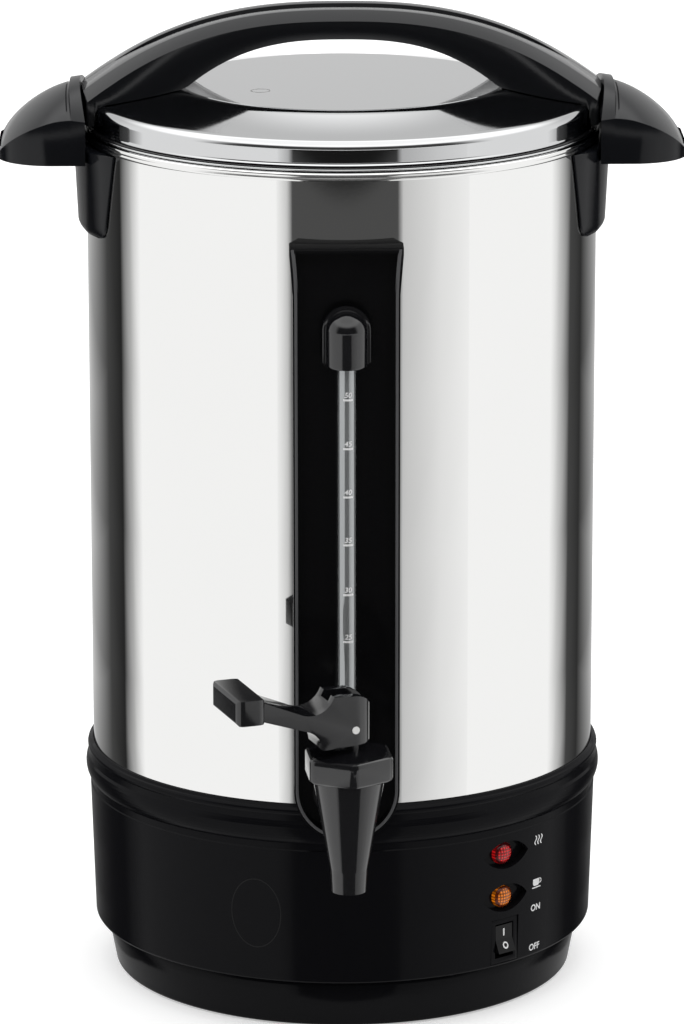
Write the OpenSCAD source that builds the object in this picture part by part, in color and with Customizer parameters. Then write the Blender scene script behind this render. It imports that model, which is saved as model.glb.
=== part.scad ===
// Percolator coffee urn: steel tank on a plastic base, sight gauge, lever tap and lift-off lid.
// The origin is the centre of the base on the surface it stands on, +Z is up and the tap faces -Y.

/* [Tank] */
// Outer diameter of the steel tank
tank_d = 220; // [205:1:240]
// Thickness of the tank wall and floor
tank_wall = 1; // [0.8:0.1:1.4]
// Height of the tank that shows between the base and the rim
tank_show_h = 274; // [250:1:320]
// Depth of the tank that is sunk into the base
tank_sunk_h = 17; // [15:1:20]
// Outer diameter of the heating well in the tank floor
well_d = 46; // [40:1:52]
// Depth of the heating well
well_depth = 12; // [9:1:14]
// Height of the rolled bead round the tank rim
rim_bead_h = 3.3; // [2.5:0.1:5]
// How far the rim bead stands out of the tank wall
rim_bead_out = 1.1; // [0.8:0.1:1.8]

/* [Base] */
// Height of the base from the table to its top edge
base_h = 103; // [98:1:115]
// Wall thickness of the base moulding
base_wall = 3; // [2.4:0.1:3.6]
// Height of the recessed foot below the base wall
foot_h = 22.5; // [19:0.5:23]
// How far the foot stands back from the lower edge of the wall
foot_inset = 7.4; // [5:0.1:9]
// How far the foot draws in on its way down
foot_taper = 5.9; // [4:0.1:7]
// How far the top of the base wall stands out of the tank wall
base_flare = 1.5; // [1.2:0.1:2.5]
// How far the base wall draws in on its way down
base_taper = 1.8; // [0.5:0.1:2.5]
// Height of the beaded band round the top of the base
band_h = 20.5; // [18:0.5:24]
// How far the bead stands out of the base wall
bead_out = 1.9; // [1.2:0.1:2.6]
// Width of the rubber ring that the base stands on
foot_ring_w = 5; // [4:0.5:5.5]
// How far the rubber ring stands below the base
foot_ring_drop = 1; // [0.8:0.1:1.6]

/* [Controls] */
// Angle of the control column from the front, to the right
control_az = 38.7; // [35:0.1:45]
// Diameter of the indicator lenses
lens_d = 9.6; // [8:0.2:11]
// Height of the upper indicator
lens_upper_z = 73; // [71:0.5:74]
// Height of the lower indicator
lens_lower_z = 53.5; // [53:0.5:56]
// Height of the switch centre
switch_z = 34; // [33.5:0.5:35]
// Length of the leaf shaped recess round a lens
leaf_w = 25; // [22:0.5:27]
// Height of the leaf shaped recess
leaf_h = 12.4; // [11.6:0.2:13]
// Depth of the leaf shaped recess
leaf_depth = 3; // [2:0.2:3.6]
// Width of the switch frame
switch_w = 15; // [14:0.2:16]
// Height of the switch frame
switch_h = 20; // [19:0.2:21]
// Angle the rocker turns between on and off
rocker_throw = 24; // [16:1:26]
// Diameter of the rocker pin
rocker_pin_d = 2; // [1.6:0.1:2.4]
// Bore of the bush where the power lead enters
gland_bore_d = 7.6; // [6:0.2:9]

/* [Gauge] */
// Width of the gauge panel
panel_w = 44.6; // [42:0.2:50]
// Thickness of the panel side walls
panel_wall = 2.2; // [1.8:0.1:3.6]
// How far the panel stands out of the tank
panel_depth = 8.5; // [7.5:0.1:9.5]
// Depth of the channel in the panel
channel_depth = 5.9; // [5:0.1:6.2]
// Distance from the tank rim down to the panel
panel_drop = 31; // [20:0.5:40]
// Height of the flared head of the panel
flare_h = 17; // [10:0.5:20]
// How far each side of the head flares out
flare_out = 1.4; // [1:0.1:2.5]
// Outer diameter of the sight tube
tube_d = 7.6; // [7:0.1:9]
// Wall thickness of the sight tube
tube_wall = 1.1; // [0.8:0.1:1.4]
// Distance from the tank wall to the sight tube axis
tube_reach = 11; // [10.6:0.1:12]
// Diameter of the cap on the sight tube
cap_d = 20.4; // [17:0.1:21]
// Height of the cap on the sight tube
cap_h = 25.2; // [23:0.2:34]
// Distance from the panel top down to the cap
cap_drop = 24.2; // [22:0.2:32]

/* [Tap] */
// Distance from the tank wall to the tap axis
tap_reach = 55; // [50:0.5:60]
// Height of the tap shank above the top of the base
shank_rise = 9; // [8:0.5:14]
// Outer diameter of the tap shank
shank_d = 20; // [18:0.5:21]
// Width of the hexagon bonnet across its corners
hex_d = 40; // [38:0.5:44]
// Height of the hexagon bonnet
hex_h = 10.8; // [9:0.2:13]
// Diameter of the tap body under the bonnet
cone_top_d = 30; // [28.5:0.5:32]
// Height from the shank axis up to the bonnet
cone_rise = 20.3; // [16:0.1:22]
// Height from the shank axis down to the spout
cone_drop = 19; // [17:0.5:22]
// Outer diameter of the spout
spout_d = 16; // [15:0.2:18]
// Length of the straight spout
spout_h = 9.6; // [6:0.2:14]
// Diameter of the valve stem
stem_d = 8; // [7:0.1:8.6]
// Lift of the valve stem at full opening
stem_lift = 5; // [3:0.5:5]
// Height of the lever pin above the bonnet
pin_rise = 9.8; // [9.6:0.1:12]
// Diameter of the lever pin
pin_d = 3.2; // [2.6:0.1:3.6]
// Angle of the lever from the front, to the left
lever_az = 71; // [40:1:90]
// Length of the lever from its pin to the centre of its cross bar
lever_len = 48; // [44:0.5:56]
// Rise of the lever from its pin to the centre of its cross bar
lever_rise = 14.3; // [10:0.1:18]
// Length of the cross bar
bar_len = 34; // [30:0.5:52]
// Thickness of the cross bar
bar_d = 10.6; // [9:0.1:13]
// Outer width of the lever yoke
yoke_w = 17.2; // [16.4:0.2:20]

/* [Lid] */
// Height of the lid dome above the lid shoulder
dome_h = 8.3; // [6:0.1:11]
// Radius of the raised disc in the middle of the lid
disc_r = 69.5; // [60:0.5:74]
// Height of the upright band round the lid
lid_band_h = 6.6; // [5:0.2:9]
// Thickness of the lid sheet
lid_sheet = 0.9; // [0.7:0.1:1.2]
// Depth of the skirt that enters the tank
skirt_h = 12; // [8:0.5:16]
// Height of the handle arch above the lid shoulder
arch_h = 42.2; // [38:0.1:48]
// Thickness of the handle arch at its crown
arch_t = 12; // [9:0.5:13]
// Width of the flat on the crown of the arch
arch_flat_w = 19; // [10:0.5:22]
// Width of the handle arch at its feet
arch_foot_w = 50; // [46:1:84]
// Half of the clear span under the arch
arch_span = 70; // [60:1:72]
// Width of the groove along the arch
groove_w = 3.2; // [2:0.2:4]
// Depth of the groove along the arch
groove_depth = 1.6; // [0.8:0.1:2]

/* [Side handles] */
// Height of the side handles above the tank rim
wing_rise = 19; // [16:0.5:21]
// Height from the grip's underside to the top of the side handle
wing_h = 30; // [26:0.5:34]
// How far the grip reaches out
wing_len = 35; // [28:0.5:42]
// Half of the grip's length along the tank
wing_half = 42; // [36:0.5:46]
// Wall thickness of the grip
wing_wall = 3.4; // [2.8:0.1:4]
// Radius of the crown along the grip
crown_r = 81; // [70:1:100]
// Length of the leg below the grip
leg_h = 32; // [28:0.5:46]
// Thickness of the leg at its foot
leg_t = 3.4; // [3:0.1:4]
// Half of the leg's width at the tank rim
leg_top_half = 53; // [50:0.5:58]
// Half of the leg's width at its foot
leg_foot_half = 44; // [38:0.5:48]
// Diameter of the handle screws
handle_screw_d = 4; // [3.4:0.1:4.6]

/* [Percolator] */
// Outer diameter of the pump tube
pump_d = 10; // [8:0.2:12]
// Outer diameter of the coffee basket
basket_d = 150; // [130:1:170]
// Height of the coffee basket
basket_h = 52; // [40:1:60]
// Distance from the tank rim down to the basket rim
basket_drop = 34; // [31:0.5:44]
// Height of the pump tube above the basket rim
pump_top_h = 14; // [10:0.5:16]
// Thickness of the percolator sheet
perc_sheet = 0.8; // [0.6:0.1:1]
// Rows of holes in the basket floor
basket_rows = 3; // [2:1:4]

/* [Heater] */
// Diameter of the heating plate
plate_d = 124; // [118:1:128]
// Thickness of the heating plate
plate_t = 3.6; // [3:0.1:4.2]
// Diameter of the tubular heating element
element_d = 9; // [7:0.2:9.4]
// Diameter of the element's ring
element_ring_d = 96; // [92:1:98]
// Diameter of the thermostats
thermostat_d = 16; // [13:0.5:16.6]

/* [Fits] */
// Clearance between fixed pieces
seat_gap = 0.2; // [0.1:0.05:0.3]
// Clearance between pieces that move past each other
run_gap = 0.4; // [0.3:0.05:0.5]
// Radial clearance of shafts in their bores
pin_gap = 0.06; // [0.03:0.01:0.09]

/* [Hidden] */
$fn = 96;

// A length that carries a cut clear of the faces that it leaves through
over = 1;
black = [0.02, 0.02, 0.023];
steel = [0.78, 0.78, 0.77];
rubber = [0.05, 0.05, 0.05];
silicone = [0.75, 0.72, 0.68];
ceramic = [0.85, 0.83, 0.78];

// Tank
tank_r = tank_d / 2;
tank_in_r = tank_r - tank_wall;
floor_z = base_h - tank_sunk_h;
rim_z = base_h + tank_show_h;
well_r = well_d / 2;
bead_r = tank_r + rim_bead_out;
tank_corner_r = 6;

// Base
wall_top_r = tank_r + base_flare;
wall_low_r = wall_top_r - base_taper;
band_r = wall_top_r + bead_out;
band_z = base_h - band_h;
foot_top_r = wall_low_r - foot_inset;
foot_low_r = foot_top_r - foot_taper;
foot_z = foot_ring_drop;
edge_round = 1.6;
ledge_t = 3;
ledge_low_z = floor_z - ledge_t;
ledge_in_r = tank_r - 14;
flange_t = 5;
flange_top_z = foot_z + flange_t;
rebate_h = 2.4;
cover_t = 1.2;
cover_r = foot_low_r - foot_ring_w - 6;
cover_in_r = cover_r - 6;
cover_z = foot_z + rebate_h - seat_gap - cover_t;
cover_screw_r = 1.5;
cover_screw_at = cover_r - 3;
cover_boss_r = 4.2;
cover_boss_h = 7;
cover_screw_count = 4;
ring_in_r = cover_r + 2.2;
ring_groove = 1.6;

// Controls
pad_in_r = tank_r - 11;
// The base height that the indicator heights are given at
base_std_h = 103;
base_growth = base_h - base_std_h;
lens_lower_at = lens_lower_z + 0.23 * base_growth;
lens_upper_at = lens_upper_z + 0.73 * base_growth;
pad_half = 15;
control_out_r = wall_low_r;
leaf_floor_r = control_out_r - leaf_depth;
lens_flange_r = lens_d / 2 + 1.6;
lens_flange_t = 2;
lens_proud = 0.8;
lamp_body_len = 9;
frame_seat_r = control_out_r - 1.4;
frame_proud = 1.2;
frame_lip = 1;
frame_body_w = switch_w - 2 * frame_lip;
frame_body_h = switch_h - 2 * frame_lip;
frame_body_depth = 13;
frame_wall = 1.4;
rocker_w = frame_body_w - 2 * frame_wall - 2 * run_gap;
rocker_half = frame_body_h / 2 - frame_wall - 1.1 - run_gap;
rocker_pivot_r = frame_seat_r + frame_proud - 3.4;
rocker_front = 4.4;
rocker_valley = 3.2;
gland_z = 36;
gland_r = 8;
gland_flange_r = 11;
gland_flange_t = 3;

// Gauge
panel_half = panel_w / 2;
head_h = panel_wall + 0.6;
panel_front = tank_r + panel_depth;
channel_floor = panel_front - channel_depth;
panel_top_z = rim_z - panel_drop;
shank_z = base_h + shank_rise;
tube_y = -(tank_r + tube_reach);
tube_r = tube_d / 2;
cap_r = cap_d / 2;
cap_top_z = panel_top_z - cap_drop;
cap_low_z = cap_top_z - cap_h;
cap_socket_h = 12;
socket_r = tube_r + 2.6;
socket_top_z = shank_z + shank_d / 2 + 7;
tube_low_z = shank_z + shank_d / 2 - 2;
seal_h = 2.4;

// Tap
tap_y = tank_r + tap_reach;
shank_r = shank_d / 2;
shank_bore_r = shank_r - 4;
shank_in_y = tank_in_r - 18;
flange_r = shank_r + 4.4;
outer_gasket_t = 1.5;
flange_len = 2.4;
cone_top_z = shank_z + cone_rise;
cone_low_z = shank_z - cone_drop;
spout_low_z = cone_low_z - spout_h;
spout_r = spout_d / 2;
spout_bore_r = spout_r - 2.4;
neck_r = cone_top_d / 2 - 2;
neck_h = hex_h - 3.4;
chamber_r = spout_r + 0.1;
seat_z = shank_z - 11;
cup_r = chamber_r - 0.9;
cup_low_z = seat_z + run_gap;
cup_h = 8;
stem_r = stem_d / 2;
bulb_h = 2.6;
bulb_neck_r = stem_r - 1;
bulb_low_z = cup_low_z + 2.6;
collar_z = shank_z + 5;
collar_t = 2;
collar_r = chamber_r - 0.8;
hex_top_z = cone_top_z + seat_gap + hex_h;
crown_rise = 2;
bonnet_top_z = hex_top_z + crown_rise;
ceiling_z = cone_top_z + seat_gap + neck_h + 2;
pin_z = bonnet_top_z + pin_rise;
pin_r = pin_d / 2;
slot_half = stem_r + run_gap;
yoke_half = yoke_w / 2;
lever_turn = 270 - lever_az;
hub_top = 14.6;
lip_x = 14.4;
lip_low = 7.2;
slot_end = 10.8;
spring_wire_d = 1.1;
spring_r = stem_r + spring_wire_d / 2 + 0.6;
spring_turns = 5;
spring_low_z = collar_z + collar_t + 0.1;
spring_top_z = ceiling_z - 0.1;
lock_nut_t = 7;
lock_nut_d = shank_d * 1.8;

// Lid
lid_seat_z = rim_z + run_gap;
lid_flange_r = tank_r + 0.6;
lid_band_r = tank_r - 2.4;
lip_r = lid_band_r + 0.6;
flange_z = lid_seat_z + 0.9;
shoulder_z = flange_z + lid_sheet + lid_band_h;
dome_r = lip_r - 1.4;
skirt_r = tank_in_r - run_gap - 0.6;
dome_steps = 8;
disc_sag = 0.5;
disc_step = 0.5;
step_w = 1.2;
slope_r = disc_r + step_w;
slope_top = dome_h - disc_sag - disc_step;
vent_x = -35;
vent_y = -24;
vent_r = 1.3;
arch_end_r = lid_flange_r + 1.4;
arch_top_z = shoulder_z + arch_h;
arch_drop = 33.8;
arch_bow = 2.5;
arch_under_drop = 22;
arch_under_bow = 2.7;
arch_chamfer = 4.6;
arch_lean = 0.48;
arch_gap = seat_gap + 0.15;
hook_r = lid_flange_r - 1.9;
hook_low_z = flange_z + lid_sheet + 0.6;
lid_screw_x = 86;
lid_screw_y = 14;
lid_screw_r = 2;
lid_screw_len = 11;

// Side handles
wing_top_z = rim_z + wing_rise;
wing_low_z = wing_top_z - wing_h;
wing_tip_rise = 3;
wing_power = 1.36;
crown_z = wing_top_z - crown_r;
leg_low_z = wing_low_z - leg_h;
upper_in_r = arch_end_r + run_gap + 0.2;
lower_in_r = tank_r + seat_gap;
step_z = rim_z - rim_bead_h - 1.5;
wing_root = tank_r + 2;
leg_root_t = leg_t + 1.9;
collar_w = 4.4;
collar_rise = 1.3;
handle_screw_r = handle_screw_d / 2;
handle_screw_drop = [14, 30];
screw_head_r = handle_screw_r + 2.2;
screw_head_t = 2.2;

// Percolator
basket_top_z = rim_z - basket_drop;
basket_low_z = basket_top_z - basket_h;
basket_r = basket_d / 2;
pump_r = pump_d / 2;
pump_top_z = basket_top_z + pump_top_h;
foot_dish_r = well_r - tank_wall - 2;
foot_seat_z = floor_z - well_depth + run_gap;
foot_dish_h = 9;
sleeve_r = pump_r + 1.6;
hole_r = 1.5;

// Heater
plate_r = plate_d / 2;
plate_top_z = floor_z - seat_gap;
plate_low_z = plate_top_z - plate_t;
element_r = element_d / 2;
element_ring_r = element_ring_d / 2;
element_z = plate_low_z - seat_gap - element_r;
element_sweep = 320;
element_pin_len = 20;
stud_x = plate_r + 9;
stud_r = 2.5;
stud_len = 28;
clamp_t = 2;
clamp_w = 14;
clamp_top_z = min(element_z - element_r, floor_z - well_depth - tank_wall) - seat_gap;
clamp_low_z = clamp_top_z - clamp_t;
nut_h = 4;
nut_d = 9;
shield_t = 1;
shield_top_z = clamp_low_z - nut_h - 2 * seat_gap;
thermostat_r = thermostat_d / 2;
thermostat_h = 10;
thermostat_at = (well_r + element_ring_r - element_r) / 2;
fuse_r = 2.6;
fuse_len = 16;

function arc(centre, r, from, to, steps) =
    [for (i = [0:steps]) let (a = from + (to - from) * i / steps) centre + r * [cos(a), sin(a)]];
function wall_r_at(z) = wall_low_r + base_taper * (z - foot_h) / (band_z - foot_h);
function dome_z(r) =
    let (t = (r - slope_r) / (dome_r - slope_r))
        shoulder_z + (r <= disc_r ? dome_h - disc_sag * pow(r / disc_r, 2)
            : r < slope_r ? dome_h - disc_sag - disc_step * (r - disc_r) / step_w
            : slope_top * (1 - 0.65 * t - 0.35 * t * t));
// The radii at which the lid's section is drawn, out to its rim
function dome_radii(rim) =
    concat([for (i = [0:dome_steps]) disc_r * i / dome_steps],
        [for (i = [0:dome_steps]) slope_r + (rim - slope_r) * i / dome_steps]);

// Turns a piece drawn along +X so that it points out through the control column
module at_controls() {
    rotate([0, 0, control_az - 90]) children();
}

// Lays a side view drawn in X and Z flat on the tap's lever plane, with the pin at its origin
module at_lever() {
    translate([0, -tap_y, pin_z]) rotate([0, 0, lever_turn]) children();
}

// A cylinder that lies along -Y between two distances from the tank axis
module rod_y(from, to, r) {
    translate([0, -from, 0]) rotate([90, 0, 0]) cylinder(h = to - from, r = r);
}

// A cylinder that lies along +X between two distances
module rod_x(from, to, r) {
    translate([from, 0, 0]) rotate([0, 90, 0]) cylinder(h = to - from, r = r);
}

// The outside of the base as a full body of revolution, grown by a margin
module base_outside(grow = 0) {
    rotate_extrude() polygon(concat(
        [[0, foot_z], [foot_low_r + grow, foot_z]],
        arc([foot_low_r - 14 + grow, foot_h], foot_taper + 14, -20, 0, 4),
        [[wall_low_r - edge_round + grow, foot_h]],
        arc([wall_low_r - edge_round + grow, foot_h + edge_round], edge_round, -90, 0, 4),
        [[wall_top_r + grow, band_z], [wall_top_r - 0.4 + grow, band_z + 0.4]],
        arc([band_r - 9 + grow, base_h - band_h * 0.55], 9, -42, 28, 8),
        [[band_r - 1.2 + grow, base_h - 5.6]],
        arc([band_r - 2.8 + grow, base_h - 3], 2, -40, 70, 5),
        [[tank_r + seat_gap + 0.4 + grow, base_h], [0, base_h]]
    ));
}

// The outline of the gauge panel, seen from the front, with an inset
module panel_outline(inset) {
    half = panel_half - inset;
    top = panel_top_z - inset;
    translate([0, shank_z]) circle(r = half);
    polygon([
        [-half, shank_z], [half, shank_z], [half, panel_top_z - flare_h - head_h],
        [half + flare_out, panel_top_z - head_h], [half + flare_out, top],
        [-half - flare_out, top], [-half - flare_out, panel_top_z - head_h],
        [-half, panel_top_z - flare_h - head_h]
    ]);
}

// A leaf outline: two equal arcs that meet in points at the left and right
module leaf_2d(w, h) {
    r = (w * w + h * h) / (4 * h);
    intersection() {
        translate([0, r - h / 2]) circle(r = r);
        translate([0, h / 2 - r]) circle(r = r);
    }
}

// A bar with rounded edges along Z, drawn along +X, upright in the control column
module control_block(from, to, w, h, z) {
    translate([from, -w / 2, z - h / 2]) cube([to - from, w, h]);
}

module tank_shell() {
    color(steel) difference() {
        rotate_extrude() polygon(concat(
            [[0, floor_z - well_depth - tank_wall], [well_r, floor_z - well_depth - tank_wall]],
            [[well_r, floor_z], [tank_r - tank_corner_r, floor_z]],
            arc([tank_r - tank_corner_r, floor_z + tank_corner_r], tank_corner_r, -90, 0, 6),
            [[tank_r, rim_z - rim_bead_h]],
            arc([tank_r, rim_z - rim_bead_h * 0.75], rim_bead_out, -60, 40, 5),
            arc([tank_r, rim_z - rim_bead_h * 0.3], rim_bead_out, -40, 60, 5),
            [[tank_r, rim_z], [tank_in_r, rim_z]],
            arc([tank_r - tank_corner_r, floor_z + tank_corner_r], tank_corner_r - tank_wall, 0, -90, 6),
            [[well_r - tank_wall, floor_z + tank_wall]],
            [[well_r - tank_wall, floor_z - well_depth], [0, floor_z - well_depth]]
        ));
        translate([0, 0, shank_z]) rod_y(tank_in_r - over, tank_r + over, shank_r + seat_gap);
        for (side = [0, 180], drop = handle_screw_drop)
            rotate([0, 0, side]) translate([0, 0, step_z - drop])
                rod_x(tank_in_r - over, tank_r + over, handle_screw_r + seat_gap);
    }
}

module tank_studs() {
    color(steel) for (side = [-1, 1])
        translate([side * stud_x, 0, floor_z - stud_len]) cylinder(h = stud_len, r = stud_r);
}

module heater_plate() {
    color("silver") translate([0, 0, plate_low_z]) difference() {
        cylinder(h = plate_t, r = plate_r);
        translate([0, 0, -over]) cylinder(h = plate_t + 2 * over, r = well_r + seat_gap);
    }
}

module heater_element() {
    start = -90 + (360 - element_sweep) / 2;
    color([0.35, 0.34, 0.33]) {
        rotate([0, 0, start]) rotate_extrude(angle = element_sweep)
            translate([element_ring_r, element_z]) circle(r = element_r, $fn = 48);
        for (a = [start, start + element_sweep])
            rotate([0, 0, a]) translate([element_ring_r, 0, element_z - element_pin_len])
                cylinder(h = element_pin_len, r = 1.6);
    }
}

module heater_clamp() {
    length = 2 * stud_x + 12;
    color(steel) difference() {
        translate([-length / 2, -clamp_w / 2, clamp_low_z]) cube([length, clamp_w, clamp_t]);
        for (side = [-1, 1])
            translate([side * stud_x, 0, clamp_low_z - over])
                cylinder(h = clamp_t + 2 * over, r = stud_r + seat_gap);
    }
}

module heat_shield() {
    rim = 6;
    shield_r = stud_x + 9;
    color("silver") difference() {
        rotate_extrude() polygon([
            [0, shield_top_z - shield_t], [shield_r, shield_top_z - shield_t],
            [shield_r, shield_top_z + rim], [shield_r - shield_t, shield_top_z + rim],
            [shield_r - shield_t, shield_top_z], [0, shield_top_z]
        ]);
        for (side = [-1, 1])
            translate([side * stud_x, 0, shield_top_z - shield_t - over])
                cylinder(h = shield_t + 2 * over, r = stud_r + seat_gap);
        for (side = [-1, 1])
            translate([side * element_ring_r * 0.34, -element_ring_r, shield_top_z - shield_t - over])
                cylinder(h = shield_t + 2 * over, r = 8);
    }
}

module stud_nuts() {
    color(steel) for (side = [-1, 1], z = [clamp_low_z, shield_top_z - shield_t])
        translate([side * stud_x, 0, z - seat_gap - nut_h]) difference() {
            cylinder(h = nut_h, d = nut_d, $fn = 6);
            translate([0, 0, -over]) cylinder(h = nut_h + 2 * over, r = stud_r + seat_gap / 2);
        }
}

module thermostat(side) {
    tab_w = 5;
    tab_t = 0.8;
    color(ceramic) translate([0, side * thermostat_at, plate_low_z - seat_gap - thermostat_h]) {
        cylinder(h = thermostat_h, r = thermostat_r);
        for (x = [-1, 1])
            translate([x * thermostat_r * 0.55 - tab_t / 2, -tab_w / 2, -2]) cube([tab_t, tab_w, 2.5]);
    }
}

module brew_thermostat() {
    thermostat(1);
}

module warm_thermostat() {
    thermostat(-1);
}

module thermal_fuse() {
    color("ivory") rotate([0, 0, 35]) translate([thermostat_at, 0, plate_low_z - seat_gap - fuse_r])
        rotate([90, 0, 0]) cylinder(h = fuse_len, r = fuse_r, center = true);
}

module base_housing() {
    color(black) difference() {
        union() {
            difference() {
                base_outside();
                // The tank seat
                translate([0, 0, floor_z]) cylinder(h = base_h, r = tank_r + seat_gap);
                translate([0, 0, ledge_low_z - over]) cylinder(h = base_h, r = ledge_in_r);
                // The hollow behind the wall
                translate([0, 0, foot_h + base_wall])
                    cylinder(h = ledge_low_z - foot_h - base_wall, r1 = wall_low_r - base_wall,
                        r2 = wall_r_at(ledge_low_z) - base_wall);
                translate([0, 0, flange_top_z])
                    cylinder(h = foot_h, r1 = foot_low_r - base_wall, r2 = foot_top_r - base_wall);
                translate([0, 0, -over]) cylinder(h = base_h, r = cover_in_r);
            }
            // The thick pad behind the lamps and the switch
            intersection() {
                base_outside();
                at_controls() control_block(pad_in_r, band_r, 2 * pad_half, ledge_low_z - foot_h,
                    (ledge_low_z + foot_h) / 2);
            }
            for (i = [0:cover_screw_count - 1])
                rotate([0, 0, 45 + i * 360 / cover_screw_count])
                    translate([cover_screw_at, 0, flange_top_z - over])
                        cylinder(h = cover_boss_h + over, r = cover_boss_r);
        }
        // The rebate for the bottom cover and the groove for the rubber ring
        translate([0, 0, -over]) cylinder(h = foot_z + rebate_h + over, r = cover_r + seat_gap);
        translate([0, 0, -over]) difference() {
            cylinder(h = foot_z + ring_groove + over, r = ring_in_r + foot_ring_w + seat_gap);
            translate([0, 0, -over]) cylinder(h = base_h, r = ring_in_r - seat_gap);
        }
        for (i = [0:cover_screw_count - 1])
            rotate([0, 0, 45 + i * 360 / cover_screw_count]) translate([cover_screw_at, 0, 0])
                cylinder(h = flange_top_z + cover_boss_h - 2, r = cover_screw_r + seat_gap / 2);
        // The notch in the band that lets the gauge panel reach the tank
        translate([0, -tank_r + 8, 0]) rotate([90, 0, 0]) linear_extrude(30) panel_outline(-seat_gap);
        at_controls() {
            for (z = [lens_upper_at, lens_lower_at])
                translate([0, 0, z]) {
                    rotate([90, 0, 90]) translate([0, 0, leaf_floor_r])
                        linear_extrude(20) leaf_2d(leaf_w, leaf_h);
                    rod_x(pad_in_r - over, control_out_r, lens_d / 2 + seat_gap);
                }
            control_block(frame_seat_r, band_r + over, switch_w + 2 * seat_gap, switch_h + 2 * seat_gap, switch_z);
            control_block(pad_in_r - over, frame_seat_r + over, frame_body_w + 2 * seat_gap,
                frame_body_h + 2 * seat_gap, switch_z);
        }
        translate([0, 0, gland_z]) rotate([0, 0, 90])
            rod_x(wall_low_r - 2 * base_wall, band_r, gland_r + seat_gap);
    }
}

module bottom_cover() {
    slot_w = 4;
    slot_l = 26;
    slots = 8;
    color("silver") translate([0, 0, cover_z]) difference() {
        cylinder(h = cover_t, r = cover_r);
        for (i = [0:cover_screw_count - 1])
            rotate([0, 0, 45 + i * 360 / cover_screw_count])
                translate([cover_screw_at, 0, -over]) cylinder(h = cover_t + 2 * over, r = cover_screw_r + seat_gap);
        for (i = [0:slots - 1])
            rotate([0, 0, i * 360 / slots]) translate([cover_r / 2 - slot_l / 2, -slot_w / 2, -over])
                cube([slot_l, slot_w, cover_t + 2 * over]);
    }
}

module cover_screws() {
    head_t = cover_z - foot_ring_drop * 0.3;
    color(steel) for (i = [0:cover_screw_count - 1])
        rotate([0, 0, 45 + i * 360 / cover_screw_count]) translate([cover_screw_at, 0, 0]) {
            translate([0, 0, foot_ring_drop * 0.3]) cylinder(h = head_t, r = cover_screw_r + 1.3);
            translate([0, 0, cover_z - 0.1])
                cylinder(h = flange_top_z + cover_boss_h - 3 - cover_z, r = cover_screw_r);
        }
}

module foot_ring() {
    color(rubber) difference() {
        cylinder(h = foot_z + ring_groove - seat_gap, r = ring_in_r + foot_ring_w);
        translate([0, 0, -over]) cylinder(h = base_h, r = ring_in_r);
    }
}

module terminal_block() {
    w = 30;
    d = 11;
    h = 13;
    color(ceramic) translate([-w / 2, cover_in_r + 0.6, flange_top_z + seat_gap]) difference() {
        cube([w, d, h]);
        for (i = [0:2])
            translate([w * (i + 0.5) / 3 - 3.4, -over, h - 5]) cube([6.8, d + 2 * over, 6]);
    }
}

module cord_gland() {
    color(rubber) difference() {
        union() {
            translate([0, 0, gland_z]) rotate([0, 0, 90])
                rod_x(wall_low_r - base_wall - 3, wall_low_r + over, gland_r);
            difference() {
                translate([0, 0, gland_z]) rotate([0, 0, 90])
                    rod_x(wall_low_r - over, wall_low_r + gland_flange_t, gland_flange_r);
                base_outside(seat_gap);
            }
        }
        translate([0, 0, gland_z]) rotate([0, 0, 90])
            rod_x(wall_low_r - 4 * base_wall, wall_low_r + 2 * gland_flange_t, gland_bore_d / 2);
    }
}

module lens(z) {
    dome = 2;
    lens_r = lens_d / 2;
    dome_r = (lens_r * lens_r + dome * dome) / (2 * dome);
    front = control_out_r + lens_proud;
    back = pad_in_r - seat_gap;
    edge = acos(lens_r / dome_r);
    at_controls() translate([0, 0, z]) rotate([0, 90, 0]) rotate_extrude() polygon(concat(
        [[0, back - lens_flange_t], [lens_flange_r, back - lens_flange_t], [lens_flange_r, back], [lens_r, back]],
        arc([0, front - dome_r], dome_r, edge, 90, 6)
    ));
}

module heating_lens() {
    color([0.85, 0.04, 0.06]) lens(lens_upper_at);
}

module warming_lens() {
    color([0.95, 0.45, 0.02]) lens(lens_lower_at);
}

module lamp_bodies() {
    back = pad_in_r - 2 * seat_gap - lens_flange_t;
    color("white") at_controls() for (z = [lens_upper_at, lens_lower_at])
        translate([0, 0, z]) {
            rod_x(back - lamp_body_len, back, lens_d / 2);
            for (y = [-1, 1])
                translate([0, y * lens_d / 4, 0]) rod_x(back - lamp_body_len - 4, back - lamp_body_len + over, 0.7);
        }
}

module switch_frame() {
    back = frame_seat_r - frame_body_depth;
    slot_w = rocker_w + 2 * run_gap;
    slot_h = frame_body_h - 2 * frame_wall;
    color(black) at_controls() difference() {
        union() {
            control_block(frame_seat_r + seat_gap, frame_seat_r + frame_proud, switch_w, switch_h, switch_z);
            control_block(back, frame_seat_r + seat_gap, frame_body_w, frame_body_h, switch_z);
        }
        control_block(back + 2, band_r + over, slot_w, slot_h, switch_z);
        translate([rocker_pivot_r, 0, switch_z]) rotate([90, 0, 0])
            cylinder(h = frame_body_w - frame_wall, r = rocker_pin_d / 2 + seat_gap / 4, center = true);
    }
}

module switch_rocker() {
    color(black) at_controls() translate([rocker_pivot_r, 0, switch_z]) rotate([0, -rocker_throw / 2, 0])
        difference() {
            rotate([90, 0, 0]) linear_extrude(rocker_w, center = true) polygon([
                [rocker_front, rocker_half], [rocker_valley, 0], [rocker_front, -rocker_half],
                [-0.4, -rocker_half + 0.8], [-3, 0], [-0.4, rocker_half - 0.8]
            ]);
            rotate([90, 0, 0]) cylinder(h = rocker_w + 2 * over, r = rocker_pin_d / 2 + pin_gap, center = true);
        }
}

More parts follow.
